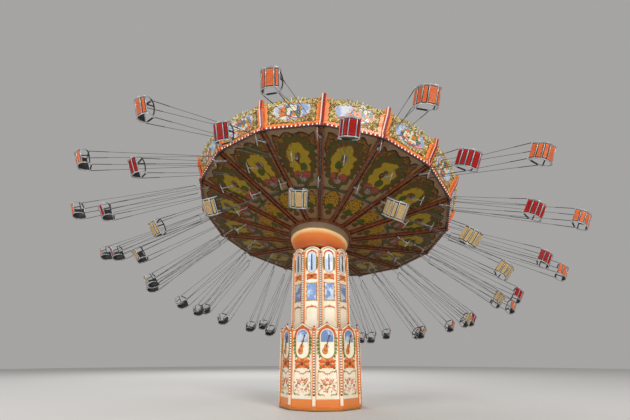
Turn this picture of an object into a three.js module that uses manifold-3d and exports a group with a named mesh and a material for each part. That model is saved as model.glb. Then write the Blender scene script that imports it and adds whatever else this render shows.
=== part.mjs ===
// Chair swing ride: a telescoping tower carries a tilting, turning crown with three rows of hanging chairs.
// Units are millimetres, +Z is up, and the origin is on the ground at the tower's axis.
// The ride stands as it runs: tower raised, crown tilted, chairs flown out.
import * as THREE from 'three';
import { mergeVertices } from 'three/addons/utils/BufferGeometryUtils.js';
import Module from 'manifold-3d';

const wasm = await Module();
wasm.setup();

// Driving dimensions
const GAP = 0.3;
const DEG = Math.PI / 180;
const TILT = 16.75 * DEG;
const RAISED_SIDE = -22.3 * DEG; // from -Y towards +X: where the crown stands highest
const CROWN_PHASE = -1.3 * DEG; // the first sweep, from -Y towards +X
const BAYS = 16;
const BAY = (2 * Math.PI) / BAYS;
const PANELS = 10;
const PIVOT_Z = 6110; // the crown tilts about a level shaft at this height
const RIM_RADIUS = 5000; // corners of the ceiling
const RIM_Z = 800; // ceiling's outer edge, in the crown's own frame, above the tilt shaft
const BELL_RADIUS = 1177;
const BELL_TOP = -90;
const BELL_BOTTOM = -940;
const CEILING_SLOPE = (RIM_Z - BELL_TOP) / (RIM_RADIUS - BELL_RADIUS);
const CEILING_THICK = 18;
const CEILING_INNER = BELL_RADIUS + 14;

// Tower
const FOUNDATION = {
  radius: 1430, inner: 1160, height: 120, padRadius: 620, padHeight: 160, spokes: 5, armWidth: 200,
};
const LOWER_BOTTOM = FOUNDATION.height + GAP;
const LOWER = { radius: 1392, wall: 45, bottom: LOWER_BOTTOM, eaves: 2440, crest: 2620, plinth: 430 };
const UPPER = { radius: 1046, wall: 40, bottom: 1950, eaves: 5215, crest: 5350 };
const PILASTER = { width: 120, stand: 26, back: 14 };
const SKIRT = { inside: 20, outside: 22 };
const LOWER_PHASE = -9 * DEG;
const UPPER_PHASE = 0;
const MAST = { sides: 12, outer: 420, top: 2700, lift: 330, slide: 0.5, liftBottom: 1920, liftTop: 4450 };
const FLANGE = { radius: 500, height: 100 };
const HEAD = { column: 250, columnTop: 5820, spokes: 5, spokeSize: 90 };
const CHEEK = { inside: 190, thick: 50, width: 300, top: 6290, base: 120 };
const TRUNNION = { radius: 70, bore: 72, past: 40, block: 230 };
const SPINDLE = { radius: 150, collar: 260, collarLow: 250, collarHigh: 330, top: 800 };

// Crown
const SLEEVE = { bore: 154, outer: 300, low: 330 + GAP, high: 880 };
const HUB = { radius: 1110, edge: 30, rise: 90 };
const SWEEP = { width: 70, depth: 110, clear: 40, outer: 4955, rail: 90, inset: 90 };
const RIB = { flange: 45, depth: 100, between: 100, inner: 1225, outer: 4900 };
const RAIL = { radius: 2690, size: 60 };
const BOARD = { thick: 40, low: RIM_Z - 60, lip: 90, height: 960, lean: 360 };
const ROOF = { rimZ: RIM_Z + 560, apexZ: RIM_Z + 1250, apexRadius: 173.7, thick: 20, kingRadius: 170 };

// Chairs: where each row hangs, its length to the middle of the seat, and how far it flies out.
// An offset of 0.5 puts a row's chairs halfway between the sweeps.
const ROWS = {
  outer: { offset: 0, radius: 4650, length: 4293, colour: 0xe1602f },
  middle: { offset: 0.5, radius: 3960, length: 4184, colour: 0xc8281e },
  inner: { offset: 0, radius: 3060, length: 4093, colour: 0xd7b97d },
};
// fly is the angle from the crown's axis and trail the lean behind the sweep, in degrees. Each is a mean with
// its cosine and sine parts round the crown, because the chairs swing wider on the side that moves down.
const FLIGHT = {
  outer: { fly: [63.1, -5.8, 2.9], trail: [6.0, 3.5, 3.1] },
  middle: { fly: [58.2, -3.3, 4.3], trail: [8.5, -1.9, 0.7] },
  inner: { fly: [51.3, -8.3, 4.0], trail: [1.6, 0.2, 0.1] },
};
const PIVOT_BELOW_CEILING = 150;
const TONGUE = { thick: 24, width: 56, below: 30, side: 0.5 };
const FORK = { cheek: 10, width: 50, above: 22, slotEnd: 62, length: 100 };
const SPREADER = { drop: 450, half: 200, bar: 28, rod: 24, eye: 14 };
const CABLE = { radius: 9, front: 92, back: -262 };

// The seat is a bent shell between two closed side loops. SIDE_VIEW is the loops' outline as [forward, up]
// from the middle of the seat: down the back, along the bottom, up the front and back along the arm.
const SIDE_VIEW = [
  [-290, 175], [-258, 0], [-195, -130], [-80, -200], [120, -200], [212, -120], [205, 20], [105, 140],
];
const SEAT = { half: 215, loop: 24, wall: 25, shellPoints: 6 };
const LAP_BAR = { forward: 148, up: 72, size: 26, strap: 40 };

// Finishes
const paint = (color, roughness, metalness = 0) =>
  new THREE.MeshStandardMaterial({ color, roughness, metalness });
const creamPaint = paint(0xfaebd2, 0.5);
const orangePaint = paint(0xf59b50, 0.45);
const steelPaint = paint(0x8c8f90, 0.5, 0.6);
const darkSteel = paint(0x55585a, 0.55, 0.7);
const ribPaint = paint(0x55280f, 0.55);
const ceilingPaint = paint(0x7d6450, 0.7);
const roofCloth = paint(0xd9c9a8, 0.85);

// Solids
const toSolid = (geometry) => {
  const bare = geometry.index ? geometry.toNonIndexed() : geometry.clone();
  bare.deleteAttribute('normal');
  bare.deleteAttribute('uv');
  const merged = mergeVertices(bare, 1e-3);
  return new wasm.Manifold(new wasm.Mesh({
    numProp: 3,
    vertProperties: new Float32Array(merged.attributes.position.array),
    triVerts: new Uint32Array(merged.index.array),
  }));
};

const toGeometry = (solid) => {
  const mesh = solid.asOriginal().simplify().getMesh();
  const geometry = new THREE.BufferGeometry();
  geometry.setAttribute('position', new THREE.BufferAttribute(new Float32Array(mesh.vertProperties), 3));
  geometry.setIndex(new THREE.BufferAttribute(new Uint32Array(mesh.triVerts), 1));
  geometry.computeVertexNormals();
  return geometry;
};

const fuse = (geometries) => geometries.map(toSolid).reduce((all, next) => all.add(next));

const box = (sizeX, sizeY, sizeZ, x = 0, y = 0, z = 0) =>
  new THREE.BoxGeometry(sizeX, sizeY, sizeZ).translate(x, y, z);

// A vertical prism with the given number of sides, one corner at the given phase from -Y.
const drum = (sides, radius, low, high, phase = 0) =>
  new THREE.CylinderGeometry(radius, radius, high - low, sides)
    .rotateX(Math.PI / 2)
    .rotateZ(phase)
    .translate(0, 0, (low + high) / 2);

// A closed profile of [radius, height] points turned about Z, with a corner at the given phase from -Y.
const turned = (profile, segments, phase = 0) => {
  const points = [...profile, profile[0]].map(([radius, height]) => new THREE.Vector2(radius, height));
  return new THREE.LatheGeometry(points, segments).rotateX(Math.PI / 2).rotateZ(phase);
};

const shapeOf = (points) => new THREE.Shape(points.map(([x, y]) => new THREE.Vector2(x, y)));

// An outline in X and Z, with its thickness along Y from the given face.
const plate = (points, thick, faceY = 0) =>
  new THREE.ExtrudeGeometry(shapeOf(points), { depth: thick, bevelEnabled: false })
    .rotateX(Math.PI / 2)
    .translate(0, faceY + thick, 0);

// A bar of rectangular section between two points, its depth as near to the up direction as it can lie.
const bar = (from, to, width, depth, up = new THREE.Vector3(0, 0, 1)) => {
  const along = to.clone().sub(from);
  const side = new THREE.Vector3().crossVectors(up, along).normalize();
  const top = new THREE.Vector3().crossVectors(along, side).normalize();
  const frame = new THREE.Matrix4().makeBasis(along.clone().normalize(), side, top);
  return new THREE.BoxGeometry(along.length(), width, depth)
    .applyMatrix4(frame)
    .translate(...from.clone().add(to).multiplyScalar(0.5).toArray());
};

// A round bar with few sides between two points.
const rod = (from, to, radius, sides) => {
  const along = to.clone().sub(from);
  const cylinderAxis = new THREE.Vector3(0, 1, 0);
  const turn = new THREE.Quaternion().setFromUnitVectors(cylinderAxis, along.clone().normalize());
  return new THREE.CylinderGeometry(radius, radius, along.length(), sides)
    .applyQuaternion(turn)
    .translate(...from.clone().add(to).multiplyScalar(0.5).toArray());
};

const piece = (name, geometry, material) => {
  const mesh = new THREE.Mesh(geometry, material);
  mesh.name = name;
  return mesh;
};

// Places round the axis. An azimuth is measured from -Y towards +X.
const outward = (azimuth) => new THREE.Vector3(Math.sin(azimuth), -Math.cos(azimuth), 0);
const forward = (azimuth) => new THREE.Vector3(Math.cos(azimuth), Math.sin(azimuth), 0);
const polar = (radius, azimuth, z) => outward(azimuth).multiplyScalar(radius).setZ(z);
const ceilingZ = (radius) => RIM_Z - CEILING_SLOPE * (RIM_RADIUS - radius);
const apothem = (radius, sides) => radius * Math.cos(Math.PI / sides);

// Tower below the lift
function foundationFrame() {
  const { radius, inner, height, padRadius, padHeight, spokes, armWidth } = FOUNDATION;
  const ring = turned([[inner, 0], [radius, 0], [radius, height], [inner, height]], PANELS, LOWER_PHASE);
  const pad = drum(PANELS, padRadius, 0, padHeight, LOWER_PHASE);
  const arms = Array.from({ length: spokes }, (_, i) => {
    const azimuth = LOWER_PHASE + (i * 2 * Math.PI) / spokes;
    const onArm = (distance) => polar(distance, azimuth, height / 2);
    return bar(onArm(padRadius / 2), onArm(inner + 60), armWidth, height - 20);
  });
  const { sides, outer, top, lift, slide } = MAST;
  const bore = lift + slide;
  const low = padHeight - 20;
  const mast = turned([[bore, low], [outer, low], [outer, top], [bore, top]], sides);
  return toGeometry(fuse([ring, pad, mast, ...arms]));
}

// One wall panel of a casing, standing on the panel's own middle, with the given top outline.
function casingPanel({ radius, wall, bottom }, top, middle) {
  const half = radius * Math.sin(Math.PI / PANELS) - 2;
  const outline = [[-half, bottom], [half, bottom], ...top(half)];
  return plate(outline, wall, -apothem(radius, PANELS)).rotateZ(middle);
}

function pilaster({ radius, wall, bottom, eaves }, azimuth, rise) {
  const { width, stand, back } = PILASTER;
  const depth = wall + stand + back;
  const top = eaves + rise;
  return box(width, depth, top - bottom, 0, depth / 2 - radius - stand, (top + bottom) / 2).rotateZ(azimuth);
}

function casing(sizes, phase, top, rise) {
  const parts = [];
  for (let i = 0; i < PANELS; i += 1) {
    const corner = phase + (i * 2 * Math.PI) / PANELS;
    parts.push(casingPanel(sizes, top, corner + Math.PI / PANELS), pilaster(sizes, corner, rise));
  }
  return parts;
}

function lowerCasing() {
  const { eaves, crest, bottom, plinth, radius } = LOWER;
  const ogee = (half) => [[half, eaves], [half * 0.72, eaves], [half * 0.34, eaves + 90], [0, crest],
    [-half * 0.34, eaves + 90], [-half * 0.72, eaves], [-half, eaves]];
  const inside = radius - SKIRT.inside;
  const outside = radius + SKIRT.outside;
  const skirtProfile = [[inside, bottom], [outside, bottom], [outside, plinth], [inside, plinth]];
  const skirt = turned(skirtProfile, PANELS, LOWER_PHASE);
  return toGeometry(fuse([...casing(LOWER, LOWER_PHASE, ogee, 50), skirt]));
}

// Lift and tower turn
function liftMast() {
  const { sides, lift, liftBottom, liftTop } = MAST;
  const post = drum(sides, lift, liftBottom, liftTop + 10);
  return toGeometry(fuse([post, drum(24, FLANGE.radius, liftTop, liftTop + FLANGE.height)]));
}

function upperCasing() {
  const { eaves, crest } = UPPER;
  const arch = (half) => [[half, eaves], [half * 0.7, eaves + 95], [half * 0.3, crest], [-half * 0.3, crest],
    [-half * 0.7, eaves + 95], [-half, eaves]];
  return toGeometry(fuse(casing(UPPER, UPPER_PHASE, arch, 0)));
}

// The tilt shaft lies level, across the raised side.
const shaftDirection = forward(RAISED_SIDE).negate();

function turningHead() {
  const low = MAST.liftTop + FLANGE.height + GAP;
  const plateTop = low + FLANGE.height;
  const { column, columnTop, spokes, spokeSize } = HEAD;
  const parts = [drum(24, FLANGE.radius, low, plateTop), drum(12, column, plateTop - 10, columnTop)];
  const reach = apothem(UPPER.radius, PANELS) - UPPER.wall - GAP;
  for (let i = 0; i < spokes; i += 1) {
    const azimuth = UPPER_PHASE + Math.PI / PANELS + (i * 2 * Math.PI) / spokes;
    const z = (low + plateTop) / 2;
    parts.push(bar(polar(FLANGE.radius - 80, azimuth, z), polar(reach, azimuth, z), spokeSize, spokeSize));
  }
  const { inside, thick, width, top, base: baseHeight } = CHEEK;
  const across = 2 * (inside + thick);
  const seat = columnTop - 20;
  const base = box(across, width, baseHeight, 0, 0, seat + baseHeight / 2);
  const cheeks = [-1, 1].map((side) =>
    box(thick, width, top - seat, side * (inside + thick / 2), 0, (top + seat) / 2));
  const bracket = [base, ...cheeks].map((geometry) => geometry.rotateZ(RAISED_SIDE));
  const pivot = new THREE.Vector3(0, 0, PIVOT_Z);
  const bore = rod(pivot.clone().addScaledVector(shaftDirection, -across),
    pivot.clone().addScaledVector(shaftDirection, across), TRUNNION.bore, 16);
  return toGeometry(fuse([...parts, ...bracket]).subtract(toSolid(bore)));
}

// Crown, in its own frame: origin on the tilt shaft, Z along the crown's axis
function tiltHead() {
  const { radius, collar, collarLow, collarHigh, top } = SPINDLE;
  const shaftEnd = shaftDirection.clone().multiplyScalar(CHEEK.inside + CHEEK.thick + TRUNNION.past);
  const shaft = rod(shaftEnd.clone().negate(), shaftEnd, TRUNNION.radius, 16);
  const block = box(2 * CHEEK.inside - 10, TRUNNION.block, TRUNNION.block).rotateZ(RAISED_SIDE);
  return toGeometry(fuse([shaft, block, drum(16, radius, 0, top), drum(24, collar, collarLow, collarHigh)]));
}

function hubBell() {
  const steps = 5;
  const skin = 24;
  const polarAngle = (z) => Math.acos(z / BELL_RADIUS);
  const arc = (radius, from, to) => Array.from({ length: steps + 1 }, (_, i) => {
    const angle = from + ((to - from) * i) / steps;
    return [radius * Math.sin(angle), radius * Math.cos(angle)];
  });
  const from = polarAngle(BELL_BOTTOM);
  const to = polarAngle(ceilingZ(CEILING_INNER) - 2.3 * GAP);
  const profile = [...arc(BELL_RADIUS, from, to), ...arc(BELL_RADIUS - skin, to, from)];
  return toGeometry(toSolid(turned(profile, 32)));
}

// Where each chair hangs and which way it flies, in the crown's frame.
function hangers(row) {
  const { offset: halfway, radius } = ROWS[row];
  const angleAt = ([mean, cosine, sine], azimuth) =>
    (mean + cosine * Math.cos(azimuth) + sine * Math.sin(azimuth)) * DEG;
  return Array.from({ length: BAYS }, (_, i) => {
    const azimuth = CROWN_PHASE + (i + halfway) * BAY;
    const out = angleAt(FLIGHT[row].fly, azimuth);
    const back = angleAt(FLIGHT[row].trail, azimuth);
    const line = outward(azimuth).multiplyScalar(Math.sin(out) * Math.cos(back))
      .addScaledVector(forward(azimuth), -Math.sin(back))
      .setZ(-Math.cos(out) * Math.cos(back));
    const swingAzimuth = Math.atan2(line.x, -line.y);
    const pivotRadius = halfway ? radius * Math.cos(BAY / 2) : radius;
    const pivot = polar(pivotRadius, azimuth, ceilingZ(radius) - PIVOT_BELOW_CEILING);
    return { azimuth, swingAzimuth, line, pivot };
  });
}

const rowNames = Object.keys(ROWS);
const sweepMiddle = (radius) => ceilingZ(radius) + CEILING_THICK + SWEEP.clear + SWEEP.depth / 2;

function sweepFrame() {
  const { bore, outer, low, high } = SLEEVE;
  const { radius: hubRadius, edge, rise } = HUB;
  const { width, depth, inset, rail } = SWEEP;
  const hubTop = sweepMiddle(hubRadius) + depth / 2;
  const hubLow = hubTop - depth - 10;
  const parts = [turned([[bore, low], [outer, low], [hubRadius - edge, hubLow], [hubRadius + edge, hubLow],
    [hubRadius + edge, hubTop], [outer, low + rise], [outer, high], [bore, high]], BAYS, CROWN_PHASE)];
  parts.push(drum(12, ROOF.kingRadius, high - 60, ROOF.apexZ - 5));
  const onSweep = (radius, azimuth) => polar(radius, azimuth, sweepMiddle(radius));
  for (let i = 0; i < BAYS; i += 1) {
    const azimuth = CROWN_PHASE + i * BAY;
    parts.push(bar(onSweep(hubRadius - 20, azimuth), onSweep(SWEEP.outer, azimuth), width, depth));
    for (const radius of [ROWS.middle.radius, SWEEP.outer - inset]) {
      parts.push(bar(onSweep(radius, azimuth), onSweep(radius, azimuth + BAY), width, rail));
    }
  }
  for (const row of rowNames) {
    for (const { swingAzimuth, pivot } of hangers(row)) {
      const topZ = ceilingZ(ROWS[row].radius) + CEILING_THICK + SWEEP.clear + 30;
      const lowZ = pivot.z - TONGUE.below;
      parts.push(box(TONGUE.thick, TONGUE.width, topZ - lowZ).rotateZ(swingAzimuth)
        .translate(pivot.x, pivot.y, (topZ + lowZ) / 2));
    }
  }
  return toGeometry(fuse(parts));
}

function ceiling() {
  const outer = RIM_RADIUS - 30 - GAP;
  const sheet = turned([[CEILING_INNER, ceilingZ(CEILING_INNER)], [outer, ceilingZ(outer)],
    [outer, ceilingZ(outer) + CEILING_THICK], [CEILING_INNER, ceilingZ(CEILING_INNER) + CEILING_THICK]],
  BAYS, CROWN_PHASE);
  const holes = rowNames.flatMap((row) => hangers(row).map(({ swingAzimuth, pivot }) =>
    box(TONGUE.thick + 16, TONGUE.width + 16, 140).rotateZ(swingAzimuth)
      .translate(pivot.x, pivot.y, pivot.z + PIVOT_BELOW_CEILING)));
  return toGeometry(toSolid(sheet).subtract(fuse(holes)));
}

function ceilingRibs() {
  const { flange, depth, between, inner, outer } = RIB;
  const slant = Math.hypot(1, CEILING_SLOPE);
  const rise = CEILING_SLOPE * (between / 2) * Math.tan(BAY / 2);
  const middle = (radius) => ceilingZ(radius) + rise - slant * (GAP + depth / 2);
  const hubInner = (BELL_RADIUS + GAP) / Math.cos(BAY / 2);
  const hubOuter = inner + 40;
  const hubLow = middle(inner) - depth / 2;
  const top = (radius) => middle(radius) + depth / 2 - 6;
  const hubRing = [[hubInner, hubLow], [hubOuter, hubLow], [hubOuter, top(hubOuter)], [hubInner, top(hubInner)]];
  const parts = [turned(hubRing, BAYS, CROWN_PHASE)];
  for (let i = 0; i < BAYS; i += 1) {
    const azimuth = CROWN_PHASE + i * BAY;
    const start = polar(inner, azimuth, middle(inner));
    const end = polar(outer, azimuth, middle(outer));
    for (const side of [-1, 1]) {
      const shift = forward(azimuth).multiplyScalar((side * (between + flange)) / 2);
      parts.push(bar(start.clone().add(shift), end.clone().add(shift), flange, depth));
    }
    const { radius, size } = RAIL;
    const setIn = between / 2 + flange - 10;
    const here = polar(radius, azimuth, middle(radius));
    const next = polar(radius, azimuth + BAY, middle(radius));
    const along = next.clone().sub(here).normalize().multiplyScalar(setIn);
    parts.push(bar(here.add(along), next.sub(along), size, size));
  }
  return toGeometry(fuse(parts));
}

function roundingBoards() {
  const { thick, low, lip, height, lean } = BOARD;
  const face = RIM_RADIUS + 10;
  const top = RIM_Z + height;
  const lipTop = low + lip;
  const bulge = [[face, lipTop], [face + lean * 0.2, lipTop + 0.3 * height],
    [face + lean * 0.62, lipTop + 0.62 * height], [face + lean - 20, top - 110]];
  const shell = turned([[face - thick, low], [face + 26, low], [face + 26, lipTop], ...bulge,
    ...bulge.slice().reverse().map(([radius, z]) => [radius - thick, z])], BAYS, CROWN_PHASE);
  const ogee = [[-face - 34, low - 26], [-face - 64, low + 60], [-face - 40, low + 180],
    [-face - lean * 0.3 - 44, low + 0.42 * height], [-face - lean * 0.75 - 44, low + 0.72 * height],
    [-face - lean - 46, top], [-face - lean + 50, top], [-face - lean * 0.62 + 30, low + 0.62 * height],
    [-face + 30, low + 160], [-face + 30, low - 26]];
  const width = 150;
  const post = new THREE.ExtrudeGeometry(shapeOf(ogee), { depth: width, bevelEnabled: false })
    .rotateX(Math.PI / 2).translate(0, width / 2, 0).rotateZ(Math.PI / 2);
  const posts = Array.from({ length: BAYS }, (_, i) => post.clone().rotateZ(CROWN_PHASE + i * BAY));
  return toGeometry(fuse([shell, ...posts]));
}

function roofCover() {
  const { rimZ, apexZ, apexRadius, thick } = ROOF;
  const rim = RIM_RADIUS + 10 + BOARD.lean * 0.3905;
  const profile = [[apexRadius, apexZ - thick], [rim, rimZ - thick], [rim, rimZ], [apexRadius, apexZ]];
  return toGeometry(toSolid(turned(profile, BAYS, CROWN_PHASE)));
}

// A line of [x, y] points moved to its left by the given distance, with mitred corners.
function offset(line, distance, closed = false) {
  const count = line.length;
  const point = (i) => new THREE.Vector2(...line[(i + count) % count]);
  const direction = (i) => point(i + 1).sub(point(i)).normalize();
  return line.map(([x, y], i) => {
    const before = direction(closed || i > 0 ? i - 1 : 0);
    const after = direction(closed || i < count - 1 ? i : i - 1);
    const along = before.clone().add(after).normalize();
    const reach = distance / along.dot(after);
    return [x - along.y * reach, y + along.x * reach];
  });
}

// An outline in the seat's side view, extruded across the seat from x.
const acrossSeat = (shape, x, depth, length) =>
  new THREE.ExtrudeGeometry(shape, { depth, bevelEnabled: false })
    .rotateX(Math.PI / 2)
    .rotateZ(Math.PI / 2)
    .translate(x, 0, -length);

// The bent shell and the two side loops, with the lap bar between the loops and its strap to the front edge.
function seatParts(length) {
  const { half, loop, wall, shellPoints } = SEAT;
  const innerLine = offset(SIDE_VIEW, wall, true);
  const loopShape = shapeOf(SIDE_VIEW);
  loopShape.holes.push(shapeOf(innerLine));
  const underside = SIDE_VIEW.slice(0, shellPoints);
  const shellShape = shapeOf([...underside, ...innerLine.slice(0, shellPoints).reverse()]);
  const inside = half - loop + 1;
  const { forward: lapForward, up, size, strap } = LAP_BAR;
  const lap = new THREE.Vector3(0, lapForward, up - length);
  const [lipForward, lipUp] = underside[shellPoints - 1];
  const lip = new THREE.Vector3(0, lipForward - wall / 2, lipUp - length);
  return [
    acrossSeat(loopShape, -half, loop, length),
    acrossSeat(loopShape, half - loop, loop, length),
    acrossSeat(shellShape, -inside, 2 * inside, length),
    box(2 * inside, size, size, 0, lapForward, up - length),
    bar(lap, lip, strap, wall - 6, new THREE.Vector3(0, 1, 0)),
  ];
}

// One chair with its lines, hanging straight down from the fork's bolt at the origin. It faces +Y.
function chair(length) {
  const at = (x, y, z) => new THREE.Vector3(x, y, z);
  const inside = TONGUE.thick / 2 + TONGUE.side;
  const { cheek, width, above, slotEnd, length: forkLength } = FORK;
  const outside = inside + cheek;
  const forkOutline = [[-outside, above], [-outside, -forkLength], [outside, -forkLength], [outside, above],
    [inside, above], [inside, -slotEnd], [-inside, -slotEnd], [-inside, above]];
  const fork = plate(forkOutline, width, -width / 2).rotateZ(Math.PI / 2);
  const { drop, half, bar: barSize, rod: rodSize, eye } = SPREADER;
  const hangerRod = bar(at(0, 0, -forkLength + 10), at(0, 0, -drop), rodSize, rodSize, at(0, 1, 0));
  const spreader = bar(at(-half, 0, -drop), at(half, 0, -drop), barSize, barSize);
  const lines = [];
  const [[backForward, backUp]] = SIDE_VIEW;
  const [armForward, armUp] = SIDE_VIEW[SIDE_VIEW.length - 1];
  for (const sign of [-1, 1]) {
    for (const y of [CABLE.front, CABLE.back]) {
      const arm = THREE.MathUtils.mapLinear(y, backForward, armForward, backUp, armUp) - SEAT.wall / 2;
      const foot = at(sign * (SEAT.half - SEAT.loop / 2), y, arm - length);
      lines.push(rod(at(sign * (half - eye), 0, -drop - 4), foot, CABLE.radius, 3));
    }
  }
  return toGeometry(fuse([fork, hangerRod, spreader, ...lines, ...seatParts(length)]));
}

// Assembly: each group rides on the one before it
const ride = new THREE.Group();
ride.add(piece('foundation_frame', foundationFrame(), darkSteel));
ride.add(piece('lower_casing', lowerCasing(), creamPaint));

const lift = new THREE.Group();
lift.add(piece('lift_mast', liftMast(), steelPaint));
ride.add(lift);

const tower = new THREE.Group();
tower.add(piece('turning_head', turningHead(), darkSteel), piece('upper_casing', upperCasing(), creamPaint));
lift.add(tower);

const crown = new THREE.Group();
crown.position.set(0, 0, PIVOT_Z);
crown.quaternion.setFromAxisAngle(shaftDirection, TILT);
crown.add(piece('tilt_head', tiltHead(), darkSteel), piece('hub_bell', hubBell(), orangePaint),
  piece('sweep_frame', sweepFrame(), steelPaint), piece('ceiling', ceiling(), ceilingPaint),
  piece('ceiling_ribs', ceilingRibs(), ribPaint), piece('rounding_boards', roundingBoards(), orangePaint),
  piece('roof_cover', roofCover(), roofCloth));
tower.add(crown);

for (const row of rowNames) {
  const { length, colour } = ROWS[row];
  const geometry = chair(length);
  const material = paint(colour, 0.5);
  hangers(row).forEach(({ swingAzimuth, line, pivot }, i) => {
    const up = line.clone().negate();
    const facing = forward(swingAzimuth);
    const seat = piece(`chair_${row}_${String(i + 1).padStart(2, '0')}`, geometry, material);
    const basis = new THREE.Matrix4().makeBasis(new THREE.Vector3().crossVectors(facing, up), facing, up);
    seat.quaternion.setFromRotationMatrix(basis);
    seat.position.copy(pivot);
    crown.add(seat);
  });
}

export default ride;
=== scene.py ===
import math
import random

import bmesh
import bpy
from mathutils import Matrix, Quaternion, Vector


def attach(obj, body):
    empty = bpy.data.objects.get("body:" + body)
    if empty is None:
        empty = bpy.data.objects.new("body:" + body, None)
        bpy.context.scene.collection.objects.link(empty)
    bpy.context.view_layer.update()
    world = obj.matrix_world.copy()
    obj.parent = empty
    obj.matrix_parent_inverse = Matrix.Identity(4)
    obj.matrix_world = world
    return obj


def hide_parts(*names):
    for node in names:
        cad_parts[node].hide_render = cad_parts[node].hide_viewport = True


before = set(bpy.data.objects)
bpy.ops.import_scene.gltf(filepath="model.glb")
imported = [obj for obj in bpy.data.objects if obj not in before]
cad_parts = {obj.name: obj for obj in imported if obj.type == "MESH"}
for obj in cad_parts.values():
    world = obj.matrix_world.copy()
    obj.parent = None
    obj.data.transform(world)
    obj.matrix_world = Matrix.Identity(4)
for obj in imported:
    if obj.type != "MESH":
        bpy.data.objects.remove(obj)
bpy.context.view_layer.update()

# The ride's own layout, the same values as the solids, in metres and degrees
ride = {
    "pivot": Vector((0, 0, 6.11)),
    "tilt": 16.75,
    "raisedSide": -22.3,
    "phase": -1.3,
    "bays": 16,
    "rimRadius": 5.0,
    "rimHeight": 0.8,
    "bellRadius": 1.177,
    "bellTop": -0.09,
    "hangBelow": 0.15,
    "boardFoot": 0.74,
    "panels": 10,
    "lowerTurn": -9,
}
bay = 2 * math.pi / ride["bays"]
phase = math.radians(ride["phase"])
lowerCorners = math.radians(ride["lowerTurn"])
slope = (ride["rimHeight"] - ride["bellTop"]) / (ride["rimRadius"] - ride["bellRadius"])
raised = math.radians(ride["raisedSide"])
tiltAxis = Vector((-math.cos(raised), -math.sin(raised), 0))
crownTurn = Quaternion(tiltAxis, math.radians(ride["tilt"]))
crownPlace = Matrix.Translation(ride["pivot"]) @ crownTurn.to_matrix().to_4x4()


def outward(azimuth):
    return Vector((math.sin(azimuth), -math.cos(azimuth), 0))


def forward(azimuth):
    return Vector((math.cos(azimuth), math.sin(azimuth), 0))


def polar(radius, azimuth, z):
    return outward(azimuth) * radius + Vector((0, 0, z))


def ceilingHeight(radius):
    return ride["rimHeight"] - slope * (ride["rimRadius"] - radius)


# Paints
def rgb(red, green, blue):
    def linear(value):
        value /= 255
        return value / 12.92 if value <= 0.04045 else ((value + 0.055) / 1.055) ** 2.4
    return (linear(red), linear(green), linear(blue), 1)


def square(value):
    return value * value


def operator(kind, reflected=False):
    def method(level, other):
        return level.paint.maths(kind, other, level) if reflected else level.paint.maths(kind, level, other)
    return method


class Level:
    # a number that varies over a surface; each sum on it adds a Math node
    def __init__(self, paint, link):
        self.paint = paint
        self.link = link

    def __abs__(self):
        return self.paint.maths("ABSOLUTE", self)

    __add__, __radd__ = operator("ADD"), operator("ADD", True)
    __sub__, __rsub__ = operator("SUBTRACT"), operator("SUBTRACT", True)
    __mul__, __rmul__ = operator("MULTIPLY"), operator("MULTIPLY", True)
    __truediv__, __rtruediv__ = operator("DIVIDE"), operator("DIVIDE", True)


class Paint:
    def __init__(self, name, **sockets):
        self.material = bpy.data.materials.new(name)
        self.material.use_nodes = True
        self.tree = self.material.node_tree
        self.shader = self.tree.nodes["Principled BSDF"]
        for key, value in sockets.items():
            self.set(key.replace("_", " "), value)

    def feed(self, socket, value):
        if isinstance(value, Level):
            self.tree.links.new(value.link, socket)
        else:
            socket.default_value = value

    def set(self, key, value):
        self.feed(self.shader.inputs[key], value)

    def node(self, kind, settings=None, inputs=None, output=0):
        made = self.tree.nodes.new(kind)
        for key, value in (settings or {}).items():
            setattr(made, key, value)
        for key, value in inputs.items() if isinstance(inputs, dict) else enumerate(inputs or []):
            self.feed(made.inputs[key], value)
        return Level(self, made.outputs[output])

    def place(self):
        return self.node("ShaderNodeTexCoord", output="Object")

    def inCrown(self, output="Object", origin=ride["pivot"]):
        # a place or a normal as the tilted crown has it
        return self.node("ShaderNodeMapping", {"vector_type": "TEXTURE"},
                         {"Vector": self.node("ShaderNodeTexCoord", output=output), "Location": origin,
                          "Rotation": crownTurn.to_euler()})

    def split(self, vector):
        first = self.node("ShaderNodeSeparateXYZ", inputs=[vector])
        return [Level(self, output) for output in first.link.node.outputs]

    def maths(self, operation, first, second=0.0):
        return self.node("ShaderNodeMath", {"operation": operation}, [first, second])

    def noise(self, vector, scale, detail=3, rough=0.5):
        return self.node("ShaderNodeTexNoise",
                         inputs={"Vector": vector, "Scale": scale, "Detail": detail, "Roughness": rough})

    def step(self, value, low, high):
        return self.node("ShaderNodeMapRange", {"interpolation_type": "SMOOTHSTEP"},
                         {"Value": value, "From Min": low, "From Max": high, "To Min": 0.0, "To Max": 1.0})

    def below(self, value, low, high):
        return 1 - self.step(value, low, high)

    def between(self, value, low, high, soft):
        return self.step(value, low - soft, low + soft) * self.below(value, high - soft, high + soft)

    def patches(self, vector, scale, detail, low, high):
        return self.step(self.noise(vector, scale, detail), low, high)

    def mix(self, factor, under, over):
        under, over = (rgb(*c) if isinstance(c, tuple) and len(c) == 3 else c for c in (under, over))
        return self.node("ShaderNodeMix", {"data_type": "RGBA"}, {0: factor, 6: under, 7: over}, output=2)

    def layers(self, look, *coats):
        # each coat is a mask and the colour that it lays over what is there
        for mask, colour in coats:
            look = self.mix(mask, look, colour)
        return look

    def finish(self, look, roughness, relief, strength, distance):
        self.set("Base Color", look)
        self.set("Roughness", roughness)
        heights = {"Height": relief, "Strength": strength, "Distance": distance}
        self.set("Normal", self.node("ShaderNodeBump", inputs=heights))
        return self.material


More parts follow.
